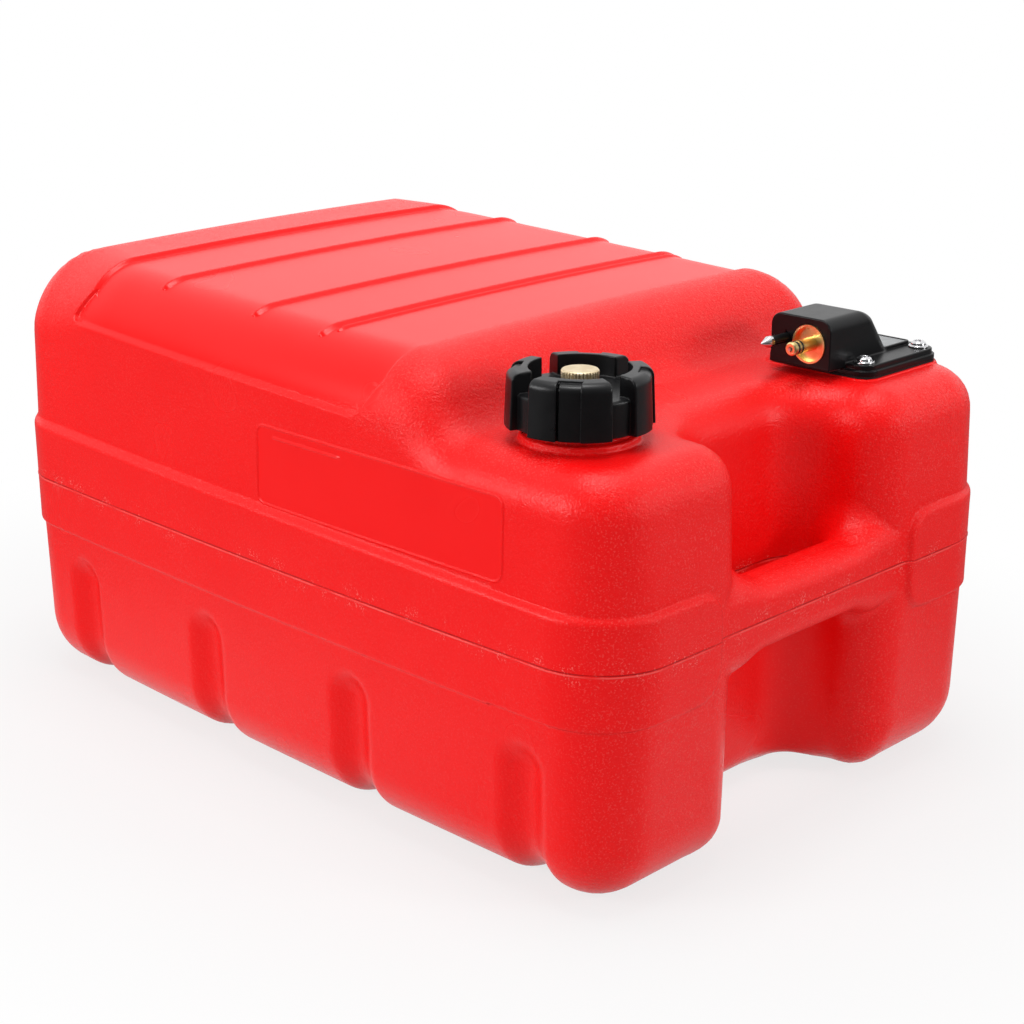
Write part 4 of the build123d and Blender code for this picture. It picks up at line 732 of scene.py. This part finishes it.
# ==== Filler cap ====
# A black screw cap with four tall grip lobes round a dished middle. A shallow strip runs down each lobe.
# A rubber ring seals the cap on the neck's rim, and a brass bush in its roof takes the vent screw.
CAP_LOW, CAP_ROOF, CAP_TOP = 240.0, 258.0, 269.2
SKIRT, GRIP, GRIP_DRAFT, DISH, CAP_BORE, HUB, BUSH_HOLE = 33.6, 37.9, 0.045, 26, 27.4, 8, 5
LOBES, LOBE_SPREAD, STRIP_HALF, STRIP_DEPTH, NICK, NICK_DEPTH = (34, 124, 214, 304), 0.6, 6, 1.3, 5.6, 2.6
CAP_BLACK, CAP_GREY = (0.0034, 0.0034, 0.0040), (0.0056, 0.0056, 0.0064)


def cap_form(points):
    """How far each point lies outside the cap's moulding."""
    x, y, z = (points - (NECK[0], NECK[1], 0)).T
    radial = np.hypot(x, y)
    skirt = meet(meet(radial - SKIRT, z - 258.5, 1.6), CAP_LOW - z, 0.5)
    outer = radial - GRIP + (z - CAP_LOW) * GRIP_DRAFT
    profile = meet(outer, z - CAP_TOP + (radial - DISH) * 0.05, 4.2)
    cap = meet(skirt, -meet(radial - DISH, CAP_ROOF - z, 1.2), 0.5)
    for turn in np.radians(LOBES):
        along, aside = x * np.cos(turn) + y * np.sin(turn), y * np.cos(turn) - x * np.sin(turn)
        flank = np.abs(aside) * math.cos(LOBE_SPREAD) - along * math.sin(LOBE_SPREAD)
        lobe = meet(meet(meet(profile, DISH - radial, 0.5), flank, 0.9), CAP_LOW - z, 0.6)
        strip = np.maximum(np.maximum(np.abs(aside) - STRIP_HALF, -profile - STRIP_DEPTH), 29.5 - along)
        nick = np.maximum(np.maximum(np.abs(aside + NICK) - 0.5, -profile - NICK_DEPTH), 30 - along)
        lobe = meet(meet(lobe, -strip, 0.55), -nick, 0.2)
        cap = join(cap, lobe, 0.5)
    bore = np.maximum(radial - CAP_BORE, z - 254.5)
    hub = np.maximum(radial - HUB, 246 - z)
    cap = np.maximum(cap, -np.maximum(bore, -hub))
    return np.maximum(cap, -np.maximum(radial - BUSH_HOLE, z - 258.2))


def cap_size(points):
    """How fine the cap's mesh is: fine wherever the surface turns."""
    bend = slope(cap_form, points + 0.4, 0.05) - slope(cap_form, points - 0.4, 0.05)
    return np.where(np.linalg.norm(bend, axis=1) > 0.25, 0.5, 2.2)


points, faces = net_of(cap_form, (-153, -227, 238), (-73, -147, 271), 1.1)
points = settle(cap_form, points, 6)
points, faces = refine(cap_form, points, faces, cap_size)
cap = mesh_of("cap_moulding", points, faces, facing(cap_form, points, 0.04))
satin = Finish("satin_black")
smear = satin.noise(130.0, 3.0)
fine = satin.noise(2400.0, 2.0)
satin_black = satin.close(Base_Color=satin.blend(smear, CAP_BLACK, CAP_GREY),
                          Roughness=0.30 + 0.08 * smear, Specular_IOR_Level=0.34,
                          Normal=satin.bump(fine, 0.00010, 0.4))
dress(cap, satin_black, "cap", "cap_black", "cap_shell")
give(black_rubber, "cap_gasket")
give(turned_brass, "vent_bush")

# ==== Air vent ====
# A pale brass screw with a knurled knob. Backed off, it lets air in past its rubber ring as fuel is drawn.
# A spring clip on the stem's foot keeps it in the cap.
# The outline runs from the knob's top to the stem's foot: radius, height and how deep the knurl is there.
OUTLINE = ((0.02, 267.8, 0), (4, 267.85, 0), (8.6, 267.9, 0), (9.0, 267.8, 0), (9.3, 267.5, 0.1),
           (9.6, 267.05, 1), (9.65, 266.7, 1), (9.65, 260.6, 1), (9.5, 260.1, 1), (9.1, 259.7, 0),
           (3.0, 259.7, 0), (3.0, 243.94, 0), (2.3, 243.9, 0), (2.3, 243.18, 0), (3.0, 243.14, 0),
           (3.0, 242.3, 0), (2.6, 241.95, 0), (0.02, 241.94, 0))
KNURLS, KNURL_DEPTH = 34, 0.75
PALE_DULL, PALE_BRIGHT = (0.74, 0.60, 0.38), (0.84, 0.72, 0.50)
angle = np.linspace(0, 2 * math.pi, KNURLS * 10 + 1)[:-1]
knurl = np.abs(((angle * KNURLS / (2 * math.pi)) % 1) - 0.5) * 2
knurl = ramp(knurl, 0.35, 0.8)
rows = []
for radius, height, share in OUTLINE:
    reach = radius - KNURL_DEPTH * share * knurl
    rows.append(np.stack([reach * np.cos(angle) + NECK[0], reach * np.sin(angle) + NECK[1],
                          np.full(len(angle), height)], 1))
outward = tube_faces(len(OUTLINE), len(angle))[:, [0, 3, 2, 1]]
knob = mesh_of("vent_knob", np.concatenate(rows), outward)
pale = Finish("pale_brass")
stipple = pale.noise(2300.0, 2.0, 0.7)
patch = pale.noise(240.0, 3.0)
pale_brass = pale.close(Base_Color=pale.blend(patch.step(0.35, 0.7), PALE_DULL, PALE_BRIGHT),
                        Roughness=0.36 + 0.12 * patch, Metallic=1.0,
                        Normal=pale.bump(stipple, 0.00016, 0.6))
dress(knob, pale_brass, "vent", "pale_brass", "vent_screw")
give(black_rubber, "vent_seal")
give(bright_steel, "vent_clip")

# ==== Studio ====
# A white floor and a white surround, with broad soft lamps. None of it belongs to the object.
# In reflections both are brightest behind the tank and above it, so that its front walls stay deep red.
FLOOR, PAPER, WHITE, ROOM = 7, (0.66, 0.66, 0.66, 1), (1, 1, 1, 1), 0.58
FOCAL_LENGTH, CAMERA_PLACE, CAMERA_AIM = 68.31, (-0.80075, -0.82143, 0.50233), (0.67424, 0.66855, -0.31399)
LAMPS = (("key", (-2.1, 0.85, 0.95), (0, 0, 0.15), (1.0, 0.7), 24),
         ("top", (-0.1, -0.1, 2.1), (0, -0.1, 0.2), (0.8, 0.8), 18),
         ("side", (0.85, -1.95, 0.85), (0, -0.2, 0.15), (0.5, 0.5), 11))
floor_mesh = bpy.data.meshes.new("floor")
corners = [(-FLOOR, -FLOOR, 0), (FLOOR, -FLOOR, 0), (FLOOR, FLOOR, 0), (-FLOOR, FLOOR, 0)]
floor_mesh.from_pydata(corners, [], [(0, 1, 2, 3)])
floor = bpy.data.objects.new("floor", floor_mesh)
bpy.context.scene.collection.objects.link(floor)
paper = Finish("white_floor")
rays = paper.node("ShaderNodeLightPath", {}, {})    # 0 camera, 3 glossy, 6 transmission
east, north, _ = paper.split(paper.place())
beyond = (east * 0.71 + north * 0.71).step(-0.7, -0.1)
from_tank = (east * east * 1.6 + north * north).root()
mirrored = rays[3] * (0.8 - 0.58 * from_tank.step(0.24, 0.6)) * (0.2 + 0.8 * beyond)
seen = rays[0].most(rays[6])
surface = paper.node("ShaderNodeBsdfDiffuse", {}, {0: PAPER})[0]
glow = paper.node("ShaderNodeEmission", {}, {0: WHITE, 1: seen.most(mirrored)})[0]
fade = (seen * (0.76 + 0.24 * from_tank.step(0.26, 0.62))).most(rays[3])
mixed = paper.node("ShaderNodeMixShader", {}, {0: fade, 1: surface, 2: glow})[0]
paper.node("ShaderNodeOutputMaterial", {}, {0: mixed})
floor.data.materials.append(paper.material)

surround = Finish("surround")
world = bpy.data.worlds.new("surround")
world.use_nodes = True
bpy.context.scene.world = world
surround.tree = world.node_tree
surround.tree.nodes.clear()
rays = surround.node("ShaderNodeLightPath", {}, {})
east, north, height = surround.split(surround.node("ShaderNodeTexCoord", {}, {})[0])
beyond = (east * 0.5 + north * 0.5 + height * 0.9).step(-0.1, 0.75)
shine = rays[3] * (0.16 + 0.84 * beyond)
seen = rays[0].most(rays[6])
room = surround.node("ShaderNodeBackground", {}, {0: WHITE, 1: ROOM})[0]
backdrop = surround.node("ShaderNodeBackground", {}, {0: WHITE, 1: seen.most(shine)})[0]
chosen = surround.node("ShaderNodeMixShader", {}, {0: seen.most(rays[3]), 1: room, 2: backdrop})[0]
surround.node("ShaderNodeOutputWorld", {}, {0: chosen})


for name, place, aim, size, watts in LAMPS:
    lamp = bpy.data.lights.new(name, "AREA")
    lamp.shape, lamp.size, lamp.size_y, lamp.energy = "RECTANGLE", size[0], size[1], watts
    made = bpy.data.objects.new(name, lamp)
    made.location = place
    made.rotation_euler = (Vector(aim) - Vector(place)).to_track_quat("-Z", "Y").to_euler()
    bpy.context.scene.collection.objects.link(made)

lens = bpy.data.cameras.new("camera")
lens.lens, lens.sensor_width, lens.clip_start = FOCAL_LENGTH, 36, 0.01
camera = bpy.data.objects.new("camera", lens)
camera.location = CAMERA_PLACE
camera.rotation_euler = Vector(CAMERA_AIM).to_track_quat("-Z", "Y").to_euler()
bpy.context.scene.collection.objects.link(camera)
bpy.context.scene.camera = camera
bpy.context.scene.view_settings.view_transform = "Standard"
